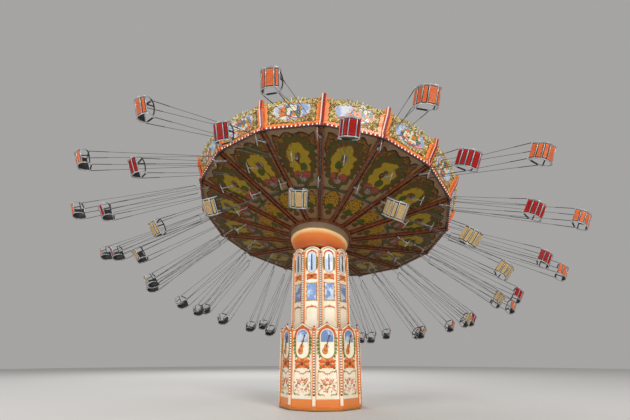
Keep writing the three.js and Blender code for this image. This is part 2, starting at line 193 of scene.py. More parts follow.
def weathered(name, colour, second, scale=2.5, roughness=0.45, metallic=0.0, coat=0.0):
    # a painted surface: two close tones in broad patches, fine speckle, and a roughness that follows them
    paint = Paint(name, Metallic=metallic, Coat_Weight=coat)
    here = paint.place()
    broad = paint.noise(here, scale, 4)
    speckle = paint.noise(here, 90, 2)
    dark = tuple(c * 0.72 for c in rgb(*colour)[:3]) + (1,)
    tone = paint.mix(paint.step(broad, 0.35, 0.7), colour, second)
    look = paint.mix(paint.step(speckle, 0.62, 0.8) * 0.35, tone, dark)
    return paint.finish(look, broad * 0.2 + (roughness - 0.1), speckle, 0.08, 0.004)


carvingTones = {
    "cream": ((250, 238, 214), (242, 224, 190)),
    "carvedCream": ((240, 224, 178), (218, 190, 128)),
    "orange": ((238, 140, 56), (228, 118, 38)),
    "deepOrange": ((222, 88, 22), (200, 68, 14)),
    "red": ((180, 14, 10), (140, 8, 8)),
    "gold": ((196, 144, 48), (156, 106, 26)),
    "olive": ((150, 156, 52), (110, 116, 30)),
    "green": ((116, 152, 44), (76, 110, 24)),
    "brown": ((84, 46, 20), (56, 30, 12)),
}
plainFinishes = {  # two tones, size of the patches, roughness, metal, clear coat
    "steel": ("galvanisedTube", (186, 188, 190), (146, 149, 152), 6, 0.36, 0.45),
    "zinc": ("brightZinc", (178, 180, 182), (146, 148, 152), 8, 0.38, 0.5),
    "frameSteel": ("frameSteel", (118, 120, 120), (92, 94, 96), 3, 0.5, 0.4),
    "darkSteel": ("darkSteel", (70, 72, 74), (50, 52, 54), 3, 0.55, 0.4),
    "blackGrip": ("blackGrip", (26, 26, 28), (36, 36, 38), 12, 0.6),
    "roofBatten": ("roofBatten", (176, 168, 148), (150, 142, 122), 5, 0.5),
    "roofCap": ("roofCap", (206, 112, 50), (180, 92, 38), 3, 0.4, 0.0, 0.2),
    "channel": ("lampChannel", (92, 56, 38), (66, 42, 30), 4, 0.5),
}
paints = {}
for name, pair in carvingTones.items():
    paints[name] = weathered(f"{name}Carving", *pair, roughness=0.42, coat=0.25)
for name, values in plainFinishes.items():
    paints[name] = weathered(*values)


def bulbGlass():
    paint = Paint("bulbGlass", Roughness=0.18, Emission_Strength=0.25)
    glow = paint.noise(paint.place(), 60, 1)
    paint.set("Base Color", paint.mix(glow, (255, 250, 236), (240, 236, 226)))
    paint.set("Emission Color", paint.mix(glow, (255, 246, 224), (250, 238, 210)))
    return paint.material


def mirrorGlass(name, near, far, metallic):
    # old glass with a painted reflection of a cloudy sky in its colour
    paint = Paint(name, Metallic=metallic)
    here = paint.place()
    skyReflection = paint.noise(here, 3.4, 5, 0.55)
    paint.set("Base Color", paint.mix(paint.step(skyReflection, 0.46, 0.6), near, far))
    paint.set("Roughness", paint.noise(here, 9, 4) * 0.14 + 0.24)
    return paint.material


paints["bulb"] = bulbGlass()
paints["mirror"] = mirrorGlass("mirrorGlass", (116, 144, 190), (206, 216, 230), 0.3)
paints["paleGlass"] = mirrorGlass("paleGlass", (176, 200, 232), (232, 236, 242), 0.1)
print("paints ready")


# Shaping helpers: each adds to a bmesh and paints the new faces, by number or by a casing paint's name
front = Vector((0, -1, 0))
panelPaints = [
    "cream", "orange", "deepOrange", "red", "gold", "olive", "green", "brown", "mirror", "bulb", "channel",
    "paleGlass",
]


def only(made, kind):
    return [part for part in made["geom"] if isinstance(part, kind)]


def mark(verts, tone, smooth=True):
    index = panelPaints.index(tone) if isinstance(tone, str) else tone
    for face in {f for v in verts for f in v.link_faces}:
        face.material_index = index
        face.smooth = smooth


def ball(bm, centre, radius, tone, level=2, stretch=(1, 1, 1)):
    place = Matrix.Translation(centre) @ Matrix.Diagonal((*stretch, 1))
    mark(bmesh.ops.create_icosphere(bm, subdivisions=level, radius=radius, matrix=place)["verts"], tone)


def block(bm, centre, size, tone, bevel=0.0, turn=None):
    place = Matrix.Translation(centre) @ (turn.to_4x4() if turn else Matrix()) @ Matrix.Diagonal((*size, 1))
    verts = bmesh.ops.create_cube(bm, size=1, matrix=place)["verts"]
    mark(verts, tone, False)
    if bevel:
        edges = list({e for v in verts for e in v.link_edges})
        made = bmesh.ops.bevel(bm, geom=edges, offset=bevel, segments=1, profile=0.5, affect="EDGES",
                               material=-1)
        verts = made["verts"]
    return verts


def plate(bm, outline, near, depth, tone):
    # an outline in X and Z, given thickness towards -Y
    verts = [bm.verts.new((x, -near, z)) for x, z in outline]
    moved = only(bmesh.ops.extrude_face_region(bm, geom=[bm.faces.new(verts)]), bmesh.types.BMVert)
    bmesh.ops.translate(bm, verts=moved, vec=(0, -depth, 0))
    bmesh.ops.recalc_face_normals(bm, faces=list({f for v in verts + moved for f in v.link_faces}))
    mark(verts + moved, tone, False)


def tube(bm, points, radius, sides, tone, closed=False, taper=None, flat=1.0):
    # a circle extruded along the points, turned to follow them
    points = [Vector(p) for p in points]
    count = len(points)
    directions = []
    for i in range(count):
        before = points[i - 1] if closed or i else points[0]
        after = points[(i + 1) % count] if closed or i < count - 1 else points[-1]
        directions.append((after - before).normalized())
    turn = directions[0].to_track_quat("Z", "Y").to_matrix().to_4x4()
    place = Matrix.Translation(points[0]) @ turn @ Matrix.Diagonal((1, flat, 1, 1))
    made = bmesh.ops.create_circle(bm, cap_ends=not closed, segments=sides, radius=radius, matrix=place)
    ring = made["verts"]
    everything = list(ring)
    edges = list({e for v in ring for e in v.link_edges})
    end = ring[0].link_faces[:1]
    scale = 1.0
    for i in range(1, count):
        if closed:
            made = bmesh.ops.extrude_edge_only(bm, edges=edges)
            edges = only(made, bmesh.types.BMEdge)
        else:
            made = bmesh.ops.extrude_face_region(bm, geom=end)
            end = only(made, bmesh.types.BMFace)[:1]
        moved = only(made, bmesh.types.BMVert)
        bend = directions[i - 1].rotation_difference(directions[i]).to_matrix().to_4x4()
        wanted = taper[i] if taper else 1.0
        step = Matrix.Translation(points[i]) @ bend @ Matrix.Scale(wanted / scale, 4)
        bmesh.ops.transform(bm, matrix=step @ Matrix.Translation(-points[i - 1]), verts=moved)
        scale = wanted
        everything += moved
    if closed:
        first = list({e for v in ring for e in v.link_edges if e.other_vert(v) in ring})
        bmesh.ops.bridge_loops(bm, edges=first + edges)
    bmesh.ops.recalc_face_normals(bm, faces=list({f for v in everything for f in v.link_faces}))
    mark(everything, tone)


def leaf(bm, base, along, face, length, width, tone, curl=0.25, fat=0.35, sides=6, rows=5, point=0.55):
    # a carved lobe: a sphere drawn out from base, pointed at its tip, curling towards face
    along = Vector(along).normalized()
    face = Vector(face).normalized()
    across = along.cross(face).normalized()
    face = across.cross(along)
    verts = bmesh.ops.create_uvsphere(bm, u_segments=sides, v_segments=rows, radius=0.5)["verts"]
    for v in verts:
        t = v.co.z + 0.5
        full = math.sin(math.pi * min(1, t ** 0.75)) * 0.25 + 0.75 - point * t * t
        x = v.co.x * width * full
        y = v.co.y * width * fat * full + curl * length * t * t
        v.co = Vector(base) + across * x + face * y + along * (t * length)
    mark(verts, tone)


def palmette(bm, base, along, face, size, lobes, spread, tones, curl=0.2):
    # lobes fanned from one point, the middle one the longest
    along = Vector(along).normalized()
    face = Vector(face).normalized()
    for i in range(lobes):
        angle = spread * (i / (lobes - 1) - 0.5)
        turned = Quaternion(face, angle) @ along
        length = size * (1 - 0.35 * abs(angle) / (spread / 2 + 0.001))
        leaf(bm, base, turned, face, length, size * 0.3, tones[i % len(tones)], curl)


def scroll(bm, centre, radius, turns, thick, along, face, tone, hand=1, steps=18):
    # a spiral bead that thins towards its eye
    along = Vector(along).normalized()
    face = Vector(face).normalized()
    across = along.cross(face).normalized() * hand
    points, taper = [], []
    for i in range(steps + 1):
        t = i / steps
        angle = 2 * math.pi * turns * t
        r = radius * (1 - 0.85 * t)
        points.append(Vector(centre) + along * (r * math.cos(angle)) + across * (r * math.sin(angle)))
        taper.append(1 - 0.5 * t)
    tube(bm, points, thick, 6, tone, taper=taper)
    ball(bm, points[-1], thick * 1.3, tone, 1)


def finished(bm, name, paintNames, body, place=None, replaces=()):
    mesh = bpy.data.meshes.new(name)
    bm.to_mesh(mesh)
    bm.free()
    if place is not None:
        mesh.transform(place)
    for paintName in paintNames:
        mesh.materials.append(paints[paintName] if isinstance(paintName, str) else paintName)
    piece = bpy.data.objects.new(name, mesh)
    bpy.context.scene.collection.objects.link(piece)
    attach(piece, body)
    if replaces:
        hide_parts(*replaces)


def repeated(template, places):
    # one bmesh holding a copy of the template at each place
    mesh = bpy.data.meshes.new("template")
    template.to_mesh(mesh)
    template.free()
    bm = bmesh.new()
    for place in places:
        known = len(bm.verts)
        bm.from_mesh(mesh)
        bm.verts.ensure_lookup_table()
        bmesh.ops.transform(bm, matrix=place, verts=bm.verts[known:])
    bpy.data.meshes.remove(mesh)
    return bm


def arc(centre, radius, start, end, steps, depth=0.0):
    # points on a circle in the X-Z plane; angles in degrees from +X
    cx, cz = centre
    angles = [math.radians(start + (end - start) * i / steps) for i in range(steps + 1)]
    return [(cx + radius * math.cos(a), -depth, cz + radius * math.sin(a)) for a in angles]


# Paint that follows the crown's bays, or a casing's panels
def bayPlace(paint, vector, corners=phase, count=ride["bays"]):
    # from the axis, across from the bay's middle, turns in bays, share of the way across, and height
    x, y, z = paint.split(vector)
    angle = 2 * math.pi / count
    radius = paint.maths("SQRT", x * x + y * y)
    turns = (paint.maths("ARCTAN2", x, y * -1) - corners) / angle
    share = paint.maths("FRACT", turns)
    across = radius * paint.maths("SINE", (share - 0.5) * angle)
    return radius, across, turns, share, z


def ceilingPaint():
    paint = Paint("paintedCeiling", Specular_IOR_Level=0.2)
    here = paint.inCrown()
    radius, across, turns, *unused = bayPlace(paint, here)
    wave = paint.noise(here, 3.2, 4)
    leafy = paint.noise(here, 12, 4, 0.6)
    fine = paint.noise(here, 34, 3)
    odd = paint.step(paint.maths("FRACT", turns * 0.5), 0.49, 0.51)
    drift = (paint.maths("FRACT", paint.maths("FLOOR", turns) * 0.62) - 0.5) * 0.14
    # the ceiling's tones are its own paint set deeper, as painted shade under the crown
    taupe = paint.mix(wave, (138, 112, 82), (116, 90, 62))
    ochre = paint.mix(leafy, (156, 132, 24), (116, 94, 14))
    brown = paint.mix(fine, (62, 32, 10), (104, 60, 20))
    green = paint.mix(fine, (26, 38, 6), (74, 84, 16))
    pink = paint.mix(fine, (154, 72, 58), (106, 44, 32))
    grey = paint.mix(fine, (140, 126, 122), (88, 78, 78))
    umber = paint.mix(fine, (134, 84, 32), (98, 58, 20))
    olive = paint.mix(fine, (112, 104, 22), (72, 68, 12))
    dark = (30, 18, 6)

    def oval(middle, halfAcross, halfAlong, ragged, sideways=0.0):
        spread = square((across - sideways) / halfAcross) + square((radius - middle) / halfAlong)
        return spread + (leafy - 0.5) * ragged

    def inside(shape, edge=1.0):
        return paint.below(shape, edge - 0.05, edge + 0.05)

    def lobes(middle, count, size):
        # a leafy edge: lobes round a point of the bay
        angle = paint.maths("ARCTAN2", across, radius - middle)
        return paint.maths("SINE", angle * count + leafy * 6) * size

    # the clouds along the outer edge, with their lighter hearts
    scallop = abs(paint.maths("SINE", across * 6.4 + drift * 12)) * 0.13
    edge = radius - scallop + (wave - 0.5) * 0.22
    sides = paint.below(abs(across) + (leafy - 0.5) * 0.12, 0.7, 0.73)
    middle = paint.below(abs(across), 0.62, 0.68)
    look = paint.layers(
        taupe,
        (paint.between(edge, 4.0, 4.62, 0.012) * sides, brown),
        (paint.between(edge, 4.58, 4.62, 0.012) * sides, dark),
        (paint.between(edge, 4.06, 4.56, 0.03) * paint.step(leafy, 0.5, 0.56) * middle, umber),
        (paint.between(edge, 4.06, 4.54, 0.03) * paint.patches(here, 14, 3, 0.55, 0.6) * middle, olive),
    )
    # a leafy wreath round an ochre field
    shield = square(across / ((radius - 2.6) * 0.19 + 0.33)) + square((radius - 3.66) / 0.88)
    wreath = shield + lobes(3.66, 17, 0.16) + (leafy - 0.5) * 0.7
    look = paint.layers(
        look,
        (inside(wreath, 1.26), dark),
        (inside(wreath, 1.2), green),
        (inside(wreath, 1.16) * paint.patches(here, 13, 2, 0.5, 0.55), brown),
        (inside(shield + lobes(3.66, 11, 0.1) + (leafy - 0.5), 0.64), brown),
        (inside(shield + lobes(3.66, 9, 0.07) + (wave - 0.5) * 0.9, 0.52), ochre),
        (paint.between(shield, 0.72, 1.16, 0.05) * paint.patches(here, 10, 2, 0.68, 0.71), pink),
    )
    # a bed of blossom, and a spray that leans to one side and the other in turn
    for sideways in (-0.15, 0.0, 0.15):
        bed = oval(3.02 + abs(sideways) * 0.9, 0.13, 0.15, 1.3, sideways)
        blossom = inside(bed) * paint.patches(here, 17, 3, 0.4, 0.46)
        look = paint.layers(look, (inside(bed, 1.2), brown), (blossom, pink if sideways else grey))
    stem = square((across - (wave - 0.5) * 0.6 - drift) / 0.04) + square((radius - 3.5) / 0.5)
    look = paint.layers(
        look,
        (inside(stem), brown),
        (inside(oval(3.46, 0.12, 0.15, 1.4, 0.11)) * odd, green),
        (inside(oval(3.6, 0.12, 0.15, 1.4, -0.11)) * (1 - odd), green),
        (inside(oval(3.86, 0.09, 0.1, 1.2, 0.06) + lobes(3.86, 7, 0.2)) * (1 - odd), grey),
        (inside(oval(3.76, 0.08, 0.11, 1.2, -0.05)) * odd, dark),
        (inside(oval(3.76, 0.04, 0.05, 0.4, -0.05)), pink),
    )
    # the round posies of the inner cells, and the dark outer edge
    look = paint.layers(
        look,
        (inside(oval(2.14, 0.27, 0.42, 0.8) + lobes(2.14, 13, 0.16), 1.2), brown),
        (inside(oval(2.16, 0.24, 0.38, 0.8) + lobes(2.14, 11, 0.12)), ochre),
        (paint.patches(here, 18, 3, 0.52, 0.56) * inside(oval(2.2, 0.2, 0.33, 0.5)), (156, 92, 14)),
        (paint.patches(here, 25, 2, 0.53, 0.57) * inside(oval(2.2, 0.22, 0.35, 0.5)), (78, 44, 10)),
        (inside(oval(1.86, 0.14, 0.13, 1.4)), green),
        (inside(oval(1.58, 0.12, 0.12, 0.8) + lobes(1.58, 6, 0.2)), brown),
        (inside(oval(1.57, 0.06, 0.06, 0.4)), green),
        (paint.step(radius, 4.88, 4.9), (44, 30, 18)),
    )
    return paint.finish(look, wave * 0.2 + 0.5, fine, 0.12, 0.004)


def boardPaint():
    paint = Paint("paintedBoards")
    here = paint.inCrown()
    radius, across, turns, share, z = bayPlace(paint, here)
    height = z - ride["boardFoot"]
    toCorner = radius * math.sin(bay / 2) - abs(across)
    wave = paint.noise(here, 5, 4)
    leafy = paint.noise(here, 16, 3)
    fine = paint.noise(here, 60, 2)
    orange = paint.mix(wave, (240, 146, 66), (232, 122, 40))
    frameLine = (116, 46, 8)
    # carved leaves: cells with painted shade in the hollows between them
    cell = {"Vector": here, "Scale": 13.0}
    hollow = paint.node("ShaderNodeTexVoronoi", {"feature": "DISTANCE_TO_EDGE"}, cell, output="Distance")
    tint = paint.split(paint.node("ShaderNodeTexVoronoi", {}, cell, output="Color"))[0]
    carvedGround = paint.layers(
        (196, 176, 128),
        (paint.step(tint, 0.4, 0.42), (96, 98, 36)),
        (paint.step(tint, 0.66, 0.68), (150, 106, 42)),
        (paint.below(hollow + (fine - 0.5) * 0.03, 0.06, 0.12), (70, 46, 18)),
    )
    # the picture: a bunch of round blooms and a ribbon before a cloudy sky, moved a little from bay to bay
    oval = square(across / 0.62) + square((height - 0.6) / 0.3) + (leafy - 0.5) * 1.1
    picture = paint.below(oval, 0.95, 1.05)
    bayNumber = paint.maths("FLOOR", turns)
    sideways = across + (paint.maths("FRACT", bayNumber * 0.37) - 0.5) * 0.4
    posy = square(sideways / 0.44) + square((height - 0.56) / 0.25)
    bunch = paint.below(posy + (leafy - 0.5) * 1.6, 0.9, 0.96)
    flat = paint.node("ShaderNodeCombineXYZ", inputs=[across + bayNumber * 3.7, height, 0.0])
    cell = {"Vector": flat, "Scale": 8.5, "Randomness": 0.8}
    plane = {"voronoi_dimensions": "2D"}
    hue = paint.split(paint.node("ShaderNodeTexVoronoi", plane, cell, output="Color"))[0]
    ragged = paint.node("ShaderNodeTexVoronoi", plane, cell, output="Distance")
    ragged = ragged + (paint.noise(here, 26, 2) - 0.5) * 0.2
    petals = paint.layers(
        (230, 108, 44),
        (paint.step(hue, 0.36, 0.38), (50, 84, 150)),
        (paint.step(hue, 0.56, 0.58), (236, 230, 216)),
        (paint.between(ragged, 0.26, 0.34, 0.03) * 0.4, (110, 60, 50)),
    )
    blooms = paint.layers(
        (50, 92, 44),
        (paint.patches(here, 22, 2, 0.47, 0.52), (132, 148, 66)),
        (paint.below(ragged, 0.48, 0.5), petals),
        (paint.below(ragged, 0.13, 0.16), (214, 150, 44)),
    )
    ribbon = paint.between(height + paint.maths("SINE", across * 7) * 0.06, 0.395, 0.435, 0.004)
    painted = paint.layers(
        (140, 162, 198),
        (paint.step(wave, 0.4, 0.6), (202, 206, 212)),
        (bunch, blooms),
        (ribbon, (190, 60, 34)),
    )
    # the wavy orange frame, the lip's red and the striped corner posts
    fromSide = toCorner + paint.maths("SINE", height * 34) * 0.016
    fromFoot = height + paint.maths("SINE", across * 34) * 0.012
    pale = paint.step(share, 0.49, 0.51) * paint.step(toCorner, 0.02, 0.024)
    stripe = paint.mix(pale, (134, 4, 4), (216, 208, 196))
    edged = paint.mix(paint.step(toCorner, 0.055, 0.06), stripe, (226, 94, 18))
    outside = paint.layers(
        carvedGround,
        (picture, painted),
        (paint.between(oval, 0.98, 1.12, 0.03) * paint.step(fine, 0.4, 0.5), (196, 152, 72)),
        (paint.below(fromSide, 0.19, 0.2), orange),
        (paint.between(fromSide, 0.19, 0.212, 0.003), frameLine),
        (paint.below(fromFoot, 0.2, 0.21), orange),
        (paint.between(fromFoot, 0.205, 0.22, 0.003), frameLine),
        (paint.below(height, 0.084, 0.088), (150, 20, 10)),
        (paint.below(toCorner, 0.074, 0.078), edged),
    )
    # plain wood inside, and painted shade on the faces that look down
    nx, ny, nz = paint.split(paint.inCrown("Normal", (0, 0, 0)))
    x, y, unused = paint.split(here)
    outerSide = paint.step((nx * x + ny * y) / radius, -0.25, -0.15)
    look = paint.layers(
        paint.mix(wave, (140, 112, 74), (116, 90, 58)),
        (outerSide, outside),
        (paint.step(nz * -1, 0.55, 0.65), (50, 30, 18)),
    )
    paint.set("Coat Weight", outerSide * 0.3)
    ground = paint.step(fromSide, 0.19, 0.2) * paint.step(fromFoot, 0.2, 0.21)
    carved = paint.step(hollow, 0.0, 0.16) * ground * (1 - picture) * outerSide
    return paint.finish(look, wave * 0.2 + 0.34, carved + leafy * 0.4 + fine * 0.1, 0.4, 0.014)


def casingPaint(name, corners, plinth):
    paint = Paint(name, Coat_Weight=0.25)
    here = paint.place()
    unused, across, *unused, z = bayPlace(paint, here, corners, ride["panels"])
    wave = paint.noise(here, 2.4, 4)
    look = paint.mix(paint.step(wave, 0.35, 0.7), (250, 240, 218), (242, 226, 194))
    if plinth:
        flowers = paint.between(z, 0.52, 0.96, 0.03) * paint.below(abs(across), 0.22, 0.26)
        look = paint.layers(
            look,
            (flowers * paint.patches(here, 14, 3, 0.6, 0.63), (226, 96, 34)),
            (flowers * paint.patches(here, 19, 2, 0.62, 0.65), (140, 138, 40)),
            (paint.below(z, 0.325, 0.33), paint.mix(wave, (238, 142, 64), (226, 120, 42))),
            (paint.between(z, 0.33, 0.337, 0.002), (150, 80, 20)),
        )
    else:
        # a painted frame line inside each panel's edge
        line = paint.between(abs(across), 0.232, 0.24, 0.002) * paint.step(z, 2.7, 2.72)
        look = paint.mix(line, look, (232, 150, 70))
    # patchy darkening that fades out upwards from the foot of each casing
    low, high = (0.5, 1.2) if plinth else (2.6, 3.4)
    darkerLow = paint.patches(here, 1.3, 5, 0.5, 0.8) * paint.below(z, low, high) * 0.22
    look = paint.mix(darkerLow, look, (176, 150, 108))
    return paint.finish(look, wave * 0.2 + 0.32, paint.noise(here, 70, 2), 0.06, 0.003)


def bellPaint():
    # orange, darker towards the bottom, that pales upwards into a painted highlight, under a taupe ring
    # painted as the crown's shadow
    paint = Paint("bellPaint", Specular_IOR_Level=0.3)
    here = paint.inCrown()
    z = paint.split(here)[2]
    wave = paint.noise(here, 3, 4)
    look = paint.layers(
        paint.mix(wave, (204, 100, 44), (190, 86, 32)),
        (paint.step(z, -0.86, -0.56), paint.mix(wave, (230, 130, 52), (222, 116, 40))),
        # a pale painted highlight just below the ring
        (paint.step(z + (wave - 0.5) * 0.1, -0.6, -0.44), paint.mix(wave, (244, 216, 160), (240, 196, 128))),
        # the taupe ring: painted shadow of the crown's rim on the bell
        (paint.step(z, -0.405, -0.395), paint.mix(wave, (132, 112, 90), (114, 94, 74))),
        (paint.between(z, -0.415, -0.395, 0.002), (150, 96, 30)),
    )
    ring = paint.step(z, -0.41, -0.4)
    paint.set("Coat Weight", 0.2 - ring * 0.2)
    return paint.finish(look, wave * 0.15 + ring * 0.4 + 0.34, paint.noise(here, 50, 2), 0.04, 0.003)


def ribPaint():
    # red-brown ribs, and pale rails with a dark green line between the cells
    paint = Paint("ribPaint", Specular_IOR_Level=0.25)
    here = paint.inCrown()
    radius, across, unused, share, unused = bayPlace(paint, here)
    wave = paint.noise(here, 6, 4)
    grain = paint.noise(here, 40, 3)
    inward = radius * paint.maths("COSINE", (share - 0.5) * bay)
    clearOfRibs = paint.step(radius * math.sin(bay / 2) - abs(across), 0.11, 0.12)
    rail = paint.mix(paint.between(inward, 2.61, 2.67, 0.003), (146, 124, 90), (36, 54, 20))
    look = paint.layers(
        (124, 66, 30),
        (paint.step(wave, 0.35, 0.7), (92, 44, 16)),
        (paint.step(grain, 0.6, 0.75) * 0.5, (70, 32, 10)),
        (paint.between(inward, 2.56, 2.72, 0.005) * clearOfRibs, rail),
    )
    return paint.finish(look, wave * 0.2 + 0.4, grain, 0.1, 0.004)


def groundRingPaint():
    # the rim carries the plinth's orange down to a green line and a brown foot; the rest is dark steel
    paint = Paint("groundRing")
    here = paint.place()
    x, y, z = paint.split(here)
    wave = paint.noise(here, 3, 4)
    band = paint.layers(
        paint.mix(wave, (238, 142, 64), (226, 120, 42)),
        (paint.between(z, 0.034, 0.056, 0.002), (122, 118, 40)),
        (paint.below(z, 0.022, 0.026), (92, 58, 28)),
    )
    outer = paint.step(paint.maths("SQRT", x * x + y * y), 1.26, 1.27)
    look = paint.mix(outer, paint.mix(wave, (70, 72, 74), (50, 52, 54)), band)
    return paint.finish(look, wave * 0.2 + 0.36, paint.noise(here, 60, 2), 0.08, 0.003)


def roofPaint():
    # pale coated canvas: two seams in each bay, and dirt that gathers beside the battens and at the rim
    paint = Paint("roofCanvas")
    here = paint.inCrown()
    radius, across, *unused = bayPlace(paint, here)
    wave = paint.noise(here, 1.6, 4)
    toHip = radius * math.sin(bay / 2) - abs(across)
    seam = paint.below(abs(abs(across) - radius * 0.064), 0.012, 0.016)
    look = paint.layers(
        (216, 208, 188),
        (paint.step(wave, 0.3, 0.7), (206, 196, 174)),
        (paint.below(toHip + (wave - 0.5) * 0.2, 0.04, 0.3) * 0.5, (166, 150, 120)),
        (paint.step(radius, 4.7, 5.1) * 0.4, (150, 136, 108)),
        (seam * 0.6, (184, 174, 150)),
    )
    return paint.finish(look, wave * 0.2 + 0.45, seam + paint.noise(here, 70, 2) * 0.1, 0.3, 0.004)


paints["groundRing"] = groundRingPaint()
paints["roof"] = roofPaint()
paints["ceiling"] = ceilingPaint()
paints["boards"] = boardPaint()
paints["lowerCasing"] = casingPaint("lowerCasingPaint", lowerCorners, True)
paints["upperCasing"] = casingPaint("upperCasingPaint", 0, False)
paints["bell"] = bellPaint()
paints["rib"] = ribPaint()

nodePaints = {
    "foundation_frame": "groundRing", "lift_mast": "frameSteel", "turning_head": "darkSteel",
    "tilt_head": "darkSteel", "sweep_frame": "frameSteel", "ceiling": "ceiling", "ceiling_ribs": "rib",
    "rounding_boards": "boards", "roof_cover": "roof", "lower_casing": "lowerCasing",
    "upper_casing": "upperCasing",
}
for node, paintName in nodePaints.items():
    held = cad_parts[node].data.materials
    held.clear()
    held.append(paints[paintName])
print("solids painted")


# The bell that hides the crown's pivot
bell = {
    "skin": 0.024, "top": -0.0889, "low": -0.985, "steps": 15, "around": 96, "bead": 0.014,
    "beads": (-0.4, -0.9),
}


def makeBell():
    bm = bmesh.new()
    start = math.acos(bell["low"] / ride["bellRadius"])
    end = math.acos(bell["top"] / ride["bellRadius"])
    angles = [start + (end - start) * i / bell["steps"] for i in range(bell["steps"] + 1)]
    outer = [(ride["bellRadius"] * math.sin(a), ride["bellRadius"] * math.cos(a)) for a in angles]
    inside = 1 - bell["skin"] / ride["bellRadius"]
    inner = [(r * inside, z * inside) for r, z in reversed(outer)]
    verts = [bm.verts.new((0, -r, z)) for r, z in outer + inner]
    edges = [bm.edges.new((a, b)) for a, b in zip(verts, verts[1:] + verts[:1])]
    bmesh.ops.spin(bm, geom=verts + edges, cent=(0, 0, 0), axis=(0, 0, 1), angle=2 * math.pi,
                   steps=bell["around"], use_merge=True)
    bmesh.ops.recalc_face_normals(bm, faces=bm.faces)
    mark(bm.verts, 0)
    for z in bell["beads"]:
        r = math.sqrt(ride["bellRadius"] ** 2 - z * z) - 0.004
        points = [outward(2 * math.pi * i / 64) * r + Vector((0, 0, z)) for i in range(64)]
        tube(bm, points, bell["bead"], 8, 1, closed=True)
    finished(bm, "hubBell", ["bell", "gold"], "crown", crownPlace, ["hub_bell"])


makeBell()
print("bell made")


# Ribs under the ceiling: lamp strips between the twin flanges, and the sockets the chairs hang from
strips = {
    "spans": ((1.34, 2.96), (3.16, 4.55), (4.75, 4.86)), "width": 0.05, "below": 0.03, "pitch": 0.13,
    "bulb": 0.011,
}
plates = {"radius": 3.96, "long": 0.2, "wide": 0.14, "thick": 0.012, "bolt": 0.01}


def makeRibStrips():
    bm = bmesh.new()
    for i in range(ride["bays"]):
        azimuth = phase + i * bay
        for near, far in strips["spans"]:
            a = polar(near, azimuth, ceilingHeight(near) - strips["below"])
            b = polar(far, azimuth, ceilingHeight(far) - strips["below"])
            along = (b - a).normalized()
            turn = Matrix((along, forward(azimuth), along.cross(forward(azimuth)))).transposed()
            block(bm, (a + b) / 2, ((b - a).length, strips["width"], 0.014), 0, turn=turn)
            count = max(1, int((far - near) / strips["pitch"]))
            for j in range(count):
                r = near + (far - near) * (j + 0.5) / count
                ball(bm, polar(r, azimuth, ceilingHeight(r) - strips["below"] - 0.024), strips["bulb"], 1, 1)
    finished(bm, "ribLampStrips", ["brown", "zinc"], "crown", crownPlace)


def makeHangerPlates():
    # a bolted plate in the middle of each bay, where the middle row's hanger comes through the ceiling
    bm = bmesh.new()
    for i in range(ride["bays"]):
        azimuth = phase + (i + 0.5) * bay
        middle = plates["radius"] * math.cos(bay / 2)
        along = (outward(azimuth) * math.cos(bay / 2) + Vector((0, 0, slope))).normalized()
        across = forward(azimuth)
        down = across.cross(along)
        down *= -1 if down.z > 0 else 1
        lowered = down * (plates["thick"] / 2 + 0.012)
        centre = polar(middle, azimuth, ceilingHeight(plates["radius"])) + lowered
        turn = Matrix((along, across, along.cross(across))).transposed()
        block(bm, centre, (plates["long"], plates["wide"], plates["thick"]), 0, 0.003, turn)
        for u in (-1, 1):
            for v in (-1, 1):
                corner = centre + along * (u * plates["long"] * 0.4) + across * (v * plates["wide"] * 0.37)
                ball(bm, corner + down * plates["thick"] * 0.5, plates["bolt"], 1, 1)
    finished(bm, "hangerPlates", ["brown", "darkSteel"], "crown", crownPlace)


makeRibStrips()
makeHangerPlates()
print("rib strips and hanger plates made")


# The roof, as seen from above: battens on the hips, two hoops, a cap, and stays behind the boards
roof = {
    "rim": 5.02, "rimHeight": 1.381, "cap": 0.42, "fall": 0.13863, "batten": 0.022, "hoops": (1.9, 3.5),
    "stay": 0.014, "screws": (0.8, 1.4, 2.0, 2.6, 3.2, 3.8, 4.4, 4.9),
}


def roofHeight(radius):
    return roof["rimHeight"] + roof["fall"] * (roof["rim"] - radius)


